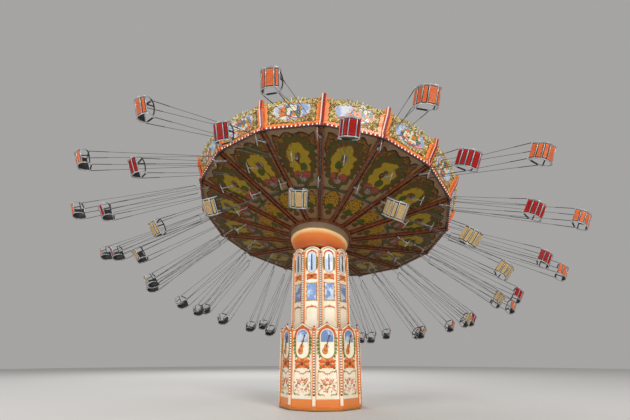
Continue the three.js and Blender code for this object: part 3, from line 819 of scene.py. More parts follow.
def makeRoofDress():
    bm = bmesh.new()
    for i in range(ride["bays"]):
        azimuth = phase + i * bay
        radii = (roof["cap"] - 0.06, 1.8, 3.4, roof["rim"])
        hip = [polar(r, azimuth, roofHeight(r) + 0.006) for r in radii]
        tube(bm, hip, roof["batten"], 6, 0, flat=0.55)
        for r in roof["screws"]:
            ball(bm, polar(r, azimuth, roofHeight(r) + roof["batten"] * 0.8), 0.009, 1, 1)
        foot = polar(roof["rim"] - 0.18, azimuth, roofHeight(roof["rim"] - 0.18))
        head = polar(roof["rim"] + 0.13, azimuth, roof["rimHeight"] + 0.19)
        tube(bm, [foot, foot.lerp(head, 0.5), head], roof["stay"], 6, 1)
        ball(bm, foot, 0.024, 1, 1)
    for radius in roof["hoops"]:
        ring = [polar(radius, phase + i * bay, roofHeight(radius) + 0.004) for i in range(ride["bays"])]
        tube(bm, ring, 0.01, 6, 0, closed=True)
    # the cap is a shallow dome with a rolled edge and a ball on top
    edge = roof["cap"]
    low = roofHeight(edge)
    outline = [(edge, low - 0.004), (edge + 0.012, low + 0.012), (edge - 0.006, low + 0.026),
               (0.3, low + 0.06), (0.16, low + 0.09), (0.06, low + 0.104), (0.05, low + 0.15),
               (0.0, low + 0.17)]
    verts = [bm.verts.new((0, -r, z)) for r, z in outline]
    edges = [bm.edges.new(pair) for pair in zip(verts, verts[1:])]
    known = len(bm.faces)
    bmesh.ops.spin(bm, geom=verts + edges, cent=(0, 0, 0), axis=(0, 0, 1), angle=2 * math.pi, steps=48,
                   use_merge=True)
    near = [v for v in bm.verts if v.co.xy.length < edge + 0.02]
    bmesh.ops.remove_doubles(bm, verts=near, dist=0.0002)
    bm.faces.ensure_lookup_table()
    bmesh.ops.recalc_face_normals(bm, faces=bm.faces)
    for face in bm.faces[known:]:
        face.material_index = 2
        face.smooth = True
    finished(bm, "roofBattens", ["roofBatten", "darkSteel", "roofCap"], "crown", crownPlace)


makeRoofDress()
print("roof dressed")


# Rounding boards: carved crests, corner finials and the lamps along the bottom edge
boards = {
    "face": 5.01, "lean": 0.36, "height": 0.96, "lip": 0.09, "teeth": 26, "toothSize": 0.033,
    "crestPitch": 0.14, "leafSize": 0.17, "seed": 11, "picture": (0.62, 0.3, 0.6), "wreath": 30,
    "fieldLeaves": 96,
}


def boardRadius(height):
    # the outer face at a height above the board's foot, at the middle of a bay
    face, lean, lip, tall = boards["face"], boards["lean"], boards["lip"], boards["height"]
    marks = [(0, face + 0.026), (lip, face + 0.026), (lip, face), (lip + 0.3 * tall, face + lean * 0.2),
             (lip + 0.62 * tall, face + lean * 0.62), (0.06 + tall - 0.11, face + lean - 0.02)]
    for (h0, r0), (h1, r1) in zip(marks, marks[1:]):
        if h0 <= height <= h1 and h1 > h0:
            return (r0 + (r1 - r0) * (height - h0) / (h1 - h0)) * math.cos(bay / 2)
    return marks[-1][1] * math.cos(bay / 2)


def spot(across, height, proud=0.0):
    # a place on the outer face of a board that stands at -Y
    return Vector((across, -(boardRadius(height) + proud), ride["boardFoot"] + height))


def facing(height):
    up = (spot(0, height + 0.03) - spot(0, height - 0.03)).normalized()
    return up, Vector((0, -up.z, up.y))


def makeLeafField():
    # loose carved leaves that fill the ground between the picture and the frame
    bm = bmesh.new()
    dice = random.Random(boards["seed"] + 1)
    halfWide, halfTall, middle = boards["picture"]
    made = 0
    while made < boards["fieldLeaves"]:
        height = 0.25 + 0.61 * dice.random()
        x = (boardRadius(height) * math.tan(bay / 2) - 0.24) * (2 * dice.random() - 1)
        u, v = x / (halfWide + 0.06), (height - middle) / (halfTall + 0.03)
        if u * u + v * v < 1:
            continue
        up, face = facing(height)
        along = Quaternion(face, 2 * math.pi * dice.random()) @ up
        size = 0.085 + 0.06 * dice.random()
        base = spot(x, height, 0.002) - along * (size / 2)
        leaf(bm, base, along, face, size, size * 0.42, made % 3, 0.22, 0.4, 5, 4)
        made += 1
    return bm


def makeBoardTemplate():
    bm = bmesh.new()
    dice = random.Random(boards["seed"])
    topHeight = boards["height"] - 0.05
    # the crest: uneven palmettes, the tallest in the middle
    up, face = facing(0.8)
    half = (boards["face"] + boards["lean"]) * math.sin(bay / 2) - 0.17
    count = int(2 * half / boards["crestPitch"])
    for i in range(count + 1):
        x = -half + 2 * half * i / count
        share = abs(x) / half
        size = boards["leafSize"] * (1.1 - 0.3 * share) * (0.7 + 0.7 * dice.random())
        lean = Vector((0.35 * (-1 if x > 0 else 1) * (1 - share) + 0.7 * (dice.random() - 0.5), 0, 0))
        rise = topHeight - 0.11 - 0.05 * share + 0.03 * dice.random()
        order = [[1, 0, 2, 0, 1], [2, 1, 0, 1, 2], [0, 1, 1, 2, 0]][i % 3]
        palmette(bm, spot(x, rise, 0.01), up + lean, face, size, 5, 2.4, order, 0.15)
    palmette(bm, spot(0, topHeight - 0.1, 0.03), up, face, 0.19, 7, 2.6, [2, 1, 0, 1, 0, 1, 2], 0.25)
    # a wreath of leaves round the picture, and fuller sprays in its corners
    halfWide, halfTall, middle = boards["picture"]
    for i in range(boards["wreath"]):
        angle = 2 * math.pi * (i + 0.3 * dice.random()) / boards["wreath"]
        x, height = (halfWide + 0.04) * math.sin(angle), middle + (halfTall + 0.03) * math.cos(angle)
        up, face = facing(height)
        way = up * math.cos(angle) + Vector((math.sin(angle), 0, 0))
        turned = Quaternion(face, 0.8 * (dice.random() - 0.5) + (0.5 if i % 2 else -0.5)) @ way
        for spread, shade in ((-0.6, 0), (0.05, 1), (0.7, 2)):
            along = Quaternion(face, spread) @ turned
            length = 0.1 + 0.04 * dice.random()
            leaf(bm, spot(x, height, 0.004), along, face, length, 0.045, (shade + i) % 3, 0.2, 0.4, 5, 4)
    for hand in (-1, 1):
        for height, size, tip in ((0.29, 0.17, -0.5), (0.5, 0.12, 0.1), (0.78, 0.15, 0.6)):
            up, face = facing(height)
            edge = boardRadius(height) * math.tan(bay / 2) - 0.24
            along = Vector((-hand * 0.9, 0, 0)) + up * tip
            palmette(bm, spot(hand * edge, height, 0.008), along, face, size, 5, 2.6, [0, 1, 2, 1, 0], 0.2)
        up, face = facing(0.32)
        scroll(bm, spot(hand * 0.6, 0.3, 0.02), 0.075, 1.6, 0.016, up, face, 2, hand)
        up, face = facing(0.78)
        scroll(bm, spot(hand * 0.58, 0.82, 0.02), 0.07, 1.6, 0.015, -up, face, 1, -hand)
    # a row of leaves along the foot, leaning to and fro
    up, face = facing(0.3)
    for i in range(11):
        along = Vector((-0.6 if i % 2 else 0.6, 0, 0)) + up * 0.6
        order = [1, 2, 1] if i % 2 else [0, 1, 0]
        palmette(bm, spot((i - 5) * 0.125, 0.245, 0.006), along, face, 0.1, 3, 1.6, order, 0.15)
    return bm


def makeBoards():
    places = [crownPlace @ Matrix.Rotation(phase + (i + 0.5) * bay, 4, "Z") for i in range(ride["bays"])]
    finished(repeated(makeBoardTemplate(), places), "boardCarving", ["olive", "carvedCream", "gold"], "crown")
    finished(repeated(makeLeafField(), places), "boardLeaves", ["carvedCream", "olive", "gold"], "crown")
    # red and white lamps in turn along the lip
    bm = bmesh.new()
    lip = boardRadius(0.03)
    width = 2 * (boards["face"] * math.sin(bay / 2) - 0.09)
    for i in range(boards["teeth"]):
        x = -width / 2 + width * (i + 0.5) / boards["teeth"]
        full = boards["toothSize"] * (0.84 if i % 2 else 1.14)
        ball(bm, (x, -(lip + 0.004), ride["boardFoot"] + 0.038), full, i % 2, 2, (1, 0.8, 1.3))
    finished(repeated(bm, places), "boardLamps", ["red", "bulb"], "crown")
    bm = bmesh.new()
    top = boards["face"] + boards["lean"]
    for i in range(ride["bays"]):
        azimuth = phase + i * bay
        ball(bm, polar(top - 0.01, azimuth, ride["boardFoot"] + boards["height"] + 0.03), 0.036, 0, 2)
        ball(bm, polar(boards["face"] + 0.05, azimuth, ride["boardFoot"] + 0.03), 0.03, 1, 2)
    finished(bm, "cornerFinials", ["gold", "red"], "crown", crownPlace)


makeBoards()
print("rounding boards made")


# Casing panels: mirrors, mouldings, shells and garlands, in the panel's own frame with its wall at -Y
def roundEnded(half, low, high, steps=10):
    # a tall window outline with half-round ends
    bottom = arc((0, low + half), half, 180, 360, steps)
    top = arc((0, high - half), half, 0, 180, steps)
    return [(x, z) for x, unused, z in bottom + top]


def rim(bm, outline, wall, proud, radius, tone, closed=True):
    tube(bm, [(x, -wall - proud, z) for x, z in outline], radius, 6, tone, closed=closed)


def shellBow(bm, middle, wall, reach):
    # a wide shell like a bow: lobes to either side of a gem, with sprigs between them
    x, z = middle
    lobes = ((66, 0.5), (42, 0.84), (18, 1.0), (-6, 0.94), (-30, 0.78), (-54, 0.56))
    for hand in (-1, 1):
        for i, (angle, share) in enumerate(lobes):
            along = Vector((hand * math.cos(math.radians(angle)), 0, math.sin(math.radians(angle))))
            tone = "orange" if i % 2 else "deepOrange"
            leaf(bm, (x, -wall, z), along, front, reach * share, reach * 0.46, tone, 0.08, 0.4, 8, 6, 0.0)
        for angle, share in ((30, 0.66), (-18, 0.56)):
            along = Vector((hand * math.cos(math.radians(angle)), 0, math.sin(math.radians(angle))))
            base = (x, -wall - reach * 0.08, z)
            leaf(bm, base, along, front, reach * share, reach * 0.14, "green", 0.12, 0.5)
        eye = (x + hand * reach * 0.72, -wall - 0.012, z - reach * 0.42)
        scroll(bm, eye, reach * 0.16, 1.3, reach * 0.05, (0, 0, 1), front, "gold", hand, 12)
    ball(bm, (x, -wall - reach * 0.1, z), reach * 0.2, "red", 2, (1, 0.6, 1))
    ring = [(x + reach * 0.22 * math.cos(a), -wall - reach * 0.1, z + reach * 0.22 * math.sin(a))
            for a in [2 * math.pi * i / 16 for i in range(16)]]
    tube(bm, ring, reach * 0.035, 6, "gold", closed=True)


def leafArch(bm, centre, radius, start, end, wall, size, tones):
    # a solid arch of overlapping leaves on a band
    points = arc(centre, radius, start, end, 14, wall + 0.004)
    tube(bm, points, size * 0.26, 6, tones[0])
    for i, point in enumerate(points):
        angle = math.radians(start + (end - start) * i / 14)
        away = Vector((math.cos(angle), 0, math.sin(angle)))
        sweep = Vector((0, 0, 1))
        if abs(math.cos(angle)) > 0.05:
            sweep = Vector((math.cos(angle), 0, 0)).normalized()
        for side, tone in ((1, tones[1]), (-1, tones[0])):
            leaf(bm, point, away * side + sweep * -0.9 * side, front, size, size * 0.62, tone, 0.2, 0.5, 5, 4)


def garland(bm, path, wall, size, leaves, berry, hand):
    # paired leaves down a bent stem, with a berry at every third pair
    points = [Vector((hand * x, -wall - 0.006, z)) for x, z in path]
    tube(bm, points, size * 0.1, 5, leaves[0])
    count = 0
    for a, b in zip(points, points[1:]):
        along = (b - a).normalized()
        steps = max(1, round((b - a).length / (size * 0.5)))
        for j in range(steps):
            here = a.lerp(b, (j + 0.5) / steps)
            for side in (-1, 1) if count % 3 else ():
                turned = Quaternion((0, 1, 0), side * 0.8) @ along
                tone = leaves[(count + (side > 0)) % len(leaves)]
                long = size * (1.15 if count % 2 else 0.9)
                leaf(bm, here, turned, front, long, size * 0.56, tone, 0.2, 0.4, 5, 4)
            if count % 3 == 1:
                ball(bm, here + Vector((0, -0.022, 0)), size * 0.19, berry, 1)
            count += 1


def bracketLine(bm, z, half, wall, thick, tone, dip=0.05):
    # the wavy gilded line that closes a field, with drops under its waves
    points = []
    for i in range(21):
        x = i / 10 - 1
        low = z - dip * math.cos(x * math.pi * 1.5) * 0.5 - dip * 0.5 * (abs(x) < 0.36)
        points.append((x * half, -wall - 0.004, low))
    tube(bm, points, thick, 6, tone)
    for x, unused, drop in points[2:-1:2]:
        leaf(bm, (x, -wall, drop), (0, 0, -1), front, 0.05, 0.03, tone, 0.1, 0.5, 5, 4)
    for hand in (-1, 1):
        eye = (hand * half * 0.92, -wall - 0.008, z + 0.03)
        scroll(bm, eye, 0.035, 1.25, thick, (0, 0, 1), front, tone, hand, 10)


post = {"half": 0.06, "strip": 0.027, "bulb": 0.027, "pitch": 0.08, "thick": 0.009}


def pilasterDress(bm, reach, low, high, foot):
    # the corner post: orange edges and cheeks, a dark channel with a row of lamps, and a foot block
    half, strip, thick = post["half"], post["strip"], post["thick"]
    middle, tall = (low + high) / 2, high - low - 0.03
    block(bm, (0, -reach - thick * 0.3, middle), (2 * (half - strip), thick * 0.6, tall), "channel")
    for hand in (-1, 1):
        edge = hand * (half - strip / 2)
        block(bm, (edge, -reach - thick / 2, middle), (strip, thick, tall), "orange", 0.003)
        block(bm, (hand * (half + 0.003), -reach + 0.016, middle), (0.006, 0.044, tall), "orange")
        bead = [(hand * (half - strip), -reach - thick, z) for z in (low + 0.03, middle, high - 0.03)]
        tube(bm, bead, 0.004, 5, "cream")
    count = int((high - low - foot - 0.1) / post["pitch"])
    for i in range(count):
        z = low + foot + 0.07 + post["pitch"] * i
        ball(bm, (0, -reach - 0.014, z), post["bulb"], "bulb", 1)
    if foot:
        block(bm, (0, -reach - 0.012, low + foot / 2), (half * 1.7, 0.028, foot - 0.01), "cream", 0.008)
        for z in (low + 0.05, low + foot - 0.05):
            block(bm, (0, -reach - 0.018, z), (half * 1.9, 0.034, 0.03), "cream", 0.008)


def roundCasing(corners, share):
    # a turn for each post, at the corners, or with a share of 0.5 for each panel between them
    panel = 2 * math.pi / ride["panels"]
    return [Matrix.Rotation(corners + (i + share) * panel, 4, "Z") for i in range(ride["panels"])]


lower = {
    "wall": 1.392 * math.cos(math.pi / ride["panels"]), "reach": 1.418,
    "mirror": (0.222, 1.54, 2.44), "fill": 2.03, "arch": (0.272, 12, 168), "shell": (1.375, 0.3),
    "garland": ((0.288, 2.24), (0.297, 2.1), (0.294, 1.88), (0.276, 1.72), (0.226, 1.58)),
    "lines": (1.12, 0.45),
    "crest": ((-0.4, 2.44), (-0.27, 2.45), (-0.13, 2.535), (0, 2.612), (0.13, 2.535), (0.27, 2.45),
              (0.4, 2.44)),
    "sprays": ((0.17, 0.86, 0.9, "orange"), (0.24, 0.8, 0.2, "olive"), (0.12, 0.68, -0.6, "orange"),
               (0.22, 0.62, -0.9, "gold"), (0.05, 0.74, 0.4, "olive")),
}
instrument = {
    "size": 1.2, "lean": 0.3, "foot": (-0.072, 0.012, 1.755), "bouts": ((0.0, 0.103), (0.115, 0.079)),
    "waist": (0.06, 0.062),
}


def makeInstrument(bm, wall):
    # a stringed instrument leaning in the window: two bouts, a neck, a scroll and strings
    size = instrument["size"]
    lean = Quaternion((0, 1, 0), instrument["lean"])
    across, proud, up = instrument["foot"]
    foot = Vector((across, -wall - proud, up))

    def place(x, z, proud=0.0):
        return foot + lean @ Vector((x * size, 0, z * size)) + Vector((0, -proud, 0))

    for z, radius in instrument["bouts"]:
        ball(bm, place(0, z), radius, "brown", 2, (1, 0.14, 1.1))
        ball(bm, place(0, z, 0.01), radius * 0.88, "orange", 2, (1, 0.17, 1.1))
    z, radius = instrument["waist"]
    ball(bm, place(0, z, 0.012), radius, "orange", 2, (1, 0.17, 1.1))
    neck = [place(0, 0.1, 0.022), place(0, 0.22, 0.022), place(0, 0.34, 0.022), place(0, 0.4, 0.018)]
    tube(bm, neck, 0.016, 6, "brown", taper=[1.1, 1, 0.85, 0.8])
    scroll(bm, place(0.012, 0.42, 0.02), 0.03, 1.3, 0.01, lean @ Vector((0, 0, -1)), front, "brown", 1, 10)
    for x in (-0.034, 0.034):
        leaf(bm, place(x, -0.01, 0.024), lean @ Vector((0, 0, 1)), front, 0.096, 0.016, "brown", 0, 0.4, 5, 4)
    block(bm, place(0, 0.0, 0.03), (0.06, 0.01, 0.014), "brown", 0.002, lean.to_matrix())
    for x in (-0.008, 0, 0.008):
        string = [place(x, -0.06, 0.032), place(x, 0.1, 0.036), place(x * 0.6, 0.36, 0.034)]
        tube(bm, string, 0.002, 4, "gold")


def makeLowerPanels():
    bm = bmesh.new()
    wall = lower["wall"]
    half, low, high = lower["mirror"]
    leaves = ["green", "olive", "green"]
    plate(bm, roundEnded(half, low, high), wall + 0.002, 0.008, "mirror")
    rim(bm, roundEnded(half, low, high), wall, 0.006, 0.018, "cream")
    rim(bm, roundEnded(half + 0.028, low - 0.028, high + 0.028), wall, 0.004, 0.009, "gold")
    fill = [(x, z) for x, z in roundEnded(half - 0.012, low + 0.012, high - 0.01) if z < lower["fill"]]
    fill += [(half - 0.012, lower["fill"]), (-half + 0.012, lower["fill"])]
    plate(bm, fill, wall + 0.0105, 0.004, "cream")
    makeInstrument(bm, wall)
    radius, start, end = lower["arch"]
    leafArch(bm, (0, high - half), radius, start, end, wall, 0.085, ["deepOrange", "orange"])
    palmette(bm, (0, -wall - 0.012, high + 0.035), (0, 0, 1), front, 0.12, 5, 2.2, ["orange", "red"], 0.15)
    for hand in (-1, 1):
        eye = (hand * (radius + 0.01), -wall - 0.01, high - half + 0.02)
        scroll(bm, eye, 0.045, 1.4, 0.012, (0, 0, 1), front, "orange", hand)
        garland(bm, lower["garland"], wall, 0.075, leaves, "red", hand)
    shellBow(bm, (0, lower["shell"][0]), wall, lower["shell"][1])
    bracketLine(bm, lower["lines"][0], 0.29, wall, 0.009, "gold")
    bracketLine(bm, lower["lines"][1], 0.29, wall, 0.009, "olive")
    # scrolling sprays on the field under the shell
    for hand in (-1, 1):
        bent = ((0.3, 1.13), (0.31, 0.9), (0.31, 0.7), (0.3, 0.5))
        tube(bm, [(hand * x, -wall - 0.004, z) for x, z in bent], 0.007, 6, "gold")
        scroll(bm, (hand * 0.1, -wall - 0.006, 0.83), 0.07, 1.5, 0.011, (0, 0, 1), front, "deepOrange",
               hand, 14)
        scroll(bm, (hand * 0.2, -wall - 0.006, 0.71), 0.05, 1.4, 0.009, (0, 0, -1), front, "red", -hand, 12)
        for x, z, tilt, tone in lower["sprays"]:
            leaf(bm, (hand * x, -wall, z), (hand * 0.8, 0, tilt), front, 0.085, 0.045, tone, 0.15, 0.5)
        ball(bm, (hand * 0.13, -wall - 0.006, 0.57), 0.014, "red", 1)
    palmette(bm, (0, -wall, 0.86), (0, 0, 1), front, 0.11, 5, 2.6, ["orange", "deepOrange"], 0.1)
    palmette(bm, (0, -wall, 0.64), (0, 0, -1), front, 0.09, 3, 1.6, ["red", "orange"], 0.1)
    # the crest's mouldings and finial, and the base mould
    rim(bm, lower["crest"], wall, 0.008, 0.024, "cream", False)
    rim(bm, [(x, z + 0.024) for x, z in lower["crest"]], wall, 0.002, 0.011, "brown", False)
    rim(bm, [(x, z - 0.045) for x, z in lower["crest"]], wall, 0.006, 0.009, "gold", False)
    ball(bm, (0, -wall + 0.01, 2.64), 0.034, "red", 2)
    for hand in (-1, 1):
        leaf(bm, (0, -wall - 0.006, 2.56), (hand * 0.8, 0, 0.5), front, 0.08, 0.04, "olive", 0.15)
    block(bm, (0, -wall - 0.03, 0.1), (0.86, 0.05, 0.04), "orange", 0.012)
    block(bm, (0, -wall - 0.012, 0.348), (0.76, 0.024, 0.03), "cream", 0.008)
    places = roundCasing(lowerCorners, 0.5)
    finished(repeated(bm, places), "lowerPanels", panelPaints, "base")
    bm = bmesh.new()
    pilasterDress(bm, lower["reach"], 0.14, 2.47, 0.3)
    tones = ["deepOrange", "orange"]
    palmette(bm, (0, -lower["reach"] - 0.006, 2.4), (0, 0, 1), front, 0.13, 5, 2.4, tones, 0.15)
    ball(bm, (0, -lower["reach"] + 0.02, 2.51), 0.035, "red", 2)
    places = roundCasing(lowerCorners, 0)
    finished(repeated(bm, places), "lowerPilasters", panelPaints, "base")


upper = {
    "wall": 1.046 * math.cos(math.pi / ride["panels"]), "reach": 1.072, "window": (0.146, 4.43, 5.17),
    "mirror": (0.178, 3.43, 4.02), "arch": (0.177, 18, 162), "shell": (4.265, 0.215), "crestLine": 3.2,
    "garland": ((0.198, 5.0), (0.204, 4.85), (0.202, 4.66), (0.182, 4.52)),
    "eaves": ((-0.26, 5.2), (-0.22, 5.27), (-0.1, 5.335), (0, 5.345), (0.1, 5.335), (0.22, 5.27),
              (0.26, 5.2)),
}


def makeUpperPanels():
    bm = bmesh.new()
    wall = upper["wall"]
    half, low, high = upper["window"]
    leaves = ["green", "olive", "green", "gold"]
    plate(bm, roundEnded(half, low, high), wall + 0.002, 0.006, "paleGlass")
    rim(bm, roundEnded(half, low, high), wall, 0.006, 0.016, "cream")
    rim(bm, roundEnded(half + 0.026, low - 0.026, high + 0.026), wall, 0.004, 0.008, "gold")
    # a slim wind instrument hangs in each tall window
    pipe = [(0, -wall - 0.02, z) for z in (4.5, 4.55, 4.9, 5.08)]
    tube(bm, pipe, 0.021, 8, "brown", taper=[1.9, 1.2, 0.95, 0.8])
    for z in (4.6, 4.68, 4.76, 4.84, 4.92):
        ball(bm, (0, -wall - 0.034, z), 0.009, "gold", 1)
    radius, start, end = upper["arch"]
    leafArch(bm, (0, high - half), radius, start, end, wall, 0.06, ["deepOrange", "orange"])
    ball(bm, (0, -wall - 0.024, high + 0.045), 0.024, "red", 2)
    for hand in (-1, 1):
        garland(bm, upper["garland"], wall, 0.058, leaves, "red", hand)
    shellBow(bm, (0, upper["shell"][0]), wall, upper["shell"][1])
    # a framed looking glass
    half, low, high = upper["mirror"]
    corners = [(-half, low), (half, low), (half, high), (-half, high)]
    plate(bm, corners, wall + 0.002, 0.006, "mirror")
    for (x0, z0), (x1, z1) in zip(corners, corners[1:] + corners[:1]):
        tube(bm, [(x0, -wall - 0.006, z0), (x1, -wall - 0.006, z1)], 0.015, 6, "gold")
        ball(bm, (x0, -wall - 0.008, z0), 0.022, "gold", 1)
    for way, z in ((1, high), (-1, low)):
        for x in (-0.11, 0, 0.11):
            palmette(bm, (x, -wall - 0.004, z), (0, 0, way), front, 0.06, 3, 2.2, ["olive", "gold"], 0.1)
        for hand in (-1, 1):
            palmette(bm, (hand * half, -wall - 0.004, z), (hand, 0, way), front, 0.065, 3, 1.6, ["gold"], 0.1)
    for hand in (-1, 1):
        for z in (3.55, 3.7, 3.85):
            base = (hand * (half + 0.012), -wall, z)
            leaf(bm, base, (hand * 0.3, 0, 1), front, 0.09, 0.035, "olive", 0.1, 0.5, 5, 4)
    wave = [(x / 10 * 0.24, -wall - 0.006, 4.09 + 0.02 * math.cos(x * 0.63)) for x in range(-10, 11)]
    tube(bm, wave, 0.008, 6, "cream")
    line = upper["crestLine"]
    brow = [(x * 0.019, -wall - 0.006, line + 0.07 * math.cos(x * 0.157) - 0.04) for x in range(-10, 11)]
    tube(bm, brow, 0.01, 6, "brown")
    palmette(bm, (0, -wall - 0.006, line), (0, 0, 1), front, 0.1, 5, 2.6, ["orange", "olive", "orange"], 0.12)
    ball(bm, (0, -wall - 0.02, line + 0.01), 0.016, "red", 1)
    for hand in (-1, 1):
        leaf(bm, (0, -wall - 0.004, line), (hand, 0, 0.12), front, 0.17, 0.07, "orange", 0.1)
        leaf(bm, (hand * 0.1, -wall - 0.004, line + 0.01), (hand, 0, -0.3), front, 0.1, 0.045, "olive", 0.1)
        stem = [(hand * 0.2, -wall - 0.003, z) for z in (2.75, 3.0, line - 0.04)]
        tube(bm, stem, 0.006, 5, "gold")
    rim(bm, upper["eaves"], wall, 0.008, 0.022, "cream", False)
    rim(bm, [(x, z - 0.036) for x, z in upper["eaves"]], wall, 0.006, 0.009, "gold", False)
    places = roundCasing(0, 0.5)
    finished(repeated(bm, places), "upperPanels", panelPaints, "tower")
    bm = bmesh.new()
    pilasterDress(bm, upper["reach"], 2.1, 5.2, 0)
    tones = ["orange", "deepOrange"]
    palmette(bm, (0, -upper["reach"] - 0.006, 5.13), (0, 0, 1), front, 0.1, 3, 1.8, tones, 0.12)
    places = roundCasing(0, 0)
    finished(repeated(bm, places), "upperPilasters", panelPaints, "tower")


makeLowerPanels()
makeUpperPanels()
print("casings dressed")


# Chairs: each hangs from its own pin under the ceiling, in its own frame with Z along its lines and Y ahead
rows = {
    "outer": {
        "offset": 0, "radius": 4.65, "length": 4.293, "fly": (63.1, -5.8, 2.9), "trail": (6.0, 3.5, 3.1),
        "colour": (232, 122, 66), "shade": (206, 88, 44), "lattice": 0.08,
    },
    "middle": {
        "offset": 0.5, "radius": 3.96, "length": 4.184, "fly": (58.2, -3.3, 4.3), "trail": (8.5, -1.9, 0.7),
        "colour": (210, 12, 8), "shade": (168, 8, 8), "lattice": 0.17,
    },
    "inner": {
        "offset": 0, "radius": 3.06, "length": 4.093, "fly": (51.3, -8.3, 4.0), "trail": (1.6, 0.2, 0.1),
        "colour": (204, 172, 116), "shade": (170, 142, 94), "lattice": 0.06,
    },
}
chair = {
    "side": ((-0.29, 0.175), (-0.258, 0), (-0.195, -0.13), (-0.08, -0.2), (0.12, -0.2), (0.212, -0.12),
             (0.205, 0.02), (0.105, 0.14)),
    "bends": 6, "half": 0.215, "loop": 0.024, "tubeRadius": 0.015, "railRadius": 0.013, "soften": 0.2,
    "panelHalf": 0.166, "panelThick": 0.007, "panelGap": 0.024, "liningHalf": 0.187, "liningIn": 0.032,
    "lapBar": (0.148, 0.072), "chainFeet": (0.092, -0.262), "hangerDrop": 0.45, "spreader": 0.2,
    "chainRadius": 0.0065, "sleeve": 0.5, "slotPitch": 0.036,
}


def hangerPlaces(row):
    made = []
    for i in range(ride["bays"]):
        azimuth = phase + (i + row["offset"]) * bay
        fly, trail = (math.radians(mean + cosine * math.cos(azimuth) + sine * math.sin(azimuth))
                      for mean, cosine, sine in (row["fly"], row["trail"]))
        line = outward(azimuth) * (math.sin(fly) * math.cos(trail)) - forward(azimuth) * math.sin(trail)
        line.z = -math.cos(fly) * math.cos(trail)
        swing = math.atan2(line.x, -line.y)
        radius = row["radius"] * (math.cos(bay / 2) if row["offset"] else 1)
        pin = polar(radius, azimuth, ceilingHeight(row["radius"]) - ride["hangBelow"])
        ahead, up = forward(swing), -line.normalized()
        basis = Matrix((ahead.cross(up), ahead, up)).transposed().to_4x4()
        made.append(crownPlace @ Matrix.Translation(pin) @ basis)
    return made


def seatPaint(name, row):
    # pressed sheet with a lattice of slots, on the panel's own map in metres across and round the seat
    paint = Paint(name, Specular_IOR_Level=0.2)
    u, v, unused = paint.split(paint.node("ShaderNodeUVMap", {"uv_map": "wrap"}))
    wave = paint.noise(paint.place(), 9, 3)
    lines = (u + v * 0.7, u - v * 0.7)
    rising, falling = (abs(paint.maths("FRACT", line / chair["slotPitch"]) - 0.5) for line in lines)
    slot = paint.step(paint.maths("MAXIMUM", rising, falling), 0.5 - row["lattice"], 0.54 - row["lattice"])
    slot = slot * paint.below(abs(u), chair["panelHalf"] - 0.03, chair["panelHalf"] - 0.024)
    look = paint.mix(slot * 0.85, paint.mix(wave, row["colour"], row["shade"]), (34, 12, 8))
    return paint.finish(look, wave * 0.2 + 0.36, 1 - slot, 0.5, 0.003)


def chainPaint():
    # galvanised links read along the line's own map: bright and dark in turn
    paint = Paint("chainLinks", Metallic=0.7)
    along = paint.split(paint.node("ShaderNodeUVMap", {"uv_map": "wrap"}))[1]
    link = abs(paint.maths("FRACT", along / 0.03) - 0.5) * 2
    steel = paint.mix(paint.noise(paint.place(), 8, 3), (112, 114, 116), (80, 82, 84))
    look = paint.mix(paint.step(link, 0.72, 0.9), steel, (34, 36, 38))
    return paint.finish(look, link * 0.2 + 0.4, link, 0.4, 0.004)


paints["chain"] = chainPaint()
for rowName, row in rows.items():
    paints[f"{rowName}Seat"] = seatPaint(f"{rowName}SeatPanel", row)


def layMap(bm, faces, measure):
    layer = bm.loops.layers.uv.verify()
    for face in faces:
        for loop in face.loops:
            loop[layer].uv = measure(loop.vert.co)


def insetLine(points, distance):
    # the seat's side view moved inwards, with mitred corners
    made = []
    for i, point in enumerate(points):
        here = Vector(point)
        before = (here - Vector(points[i - 1])).normalized()
        after = (Vector(points[(i + 1) % len(points)]) - here).normalized()
        along = (before + after).normalized()
        made.append(here + Vector((-along.y, along.x)) * (distance / along.dot(after)))
    return made


def softLine(points, steps=2, closed=False, share=0.25):
    # the same line with its corners cut again and again, so that they come out round
    for unused in range(steps):
        pairs = list(zip(points, points[1:] + points[:1])) if closed else list(zip(points, points[1:]))
        cut = [p for a, b in pairs for p in (a.lerp(b, share), a.lerp(b, 1 - share))]
        points = cut if closed else [points[0]] + cut + [points[-1]]
    return points


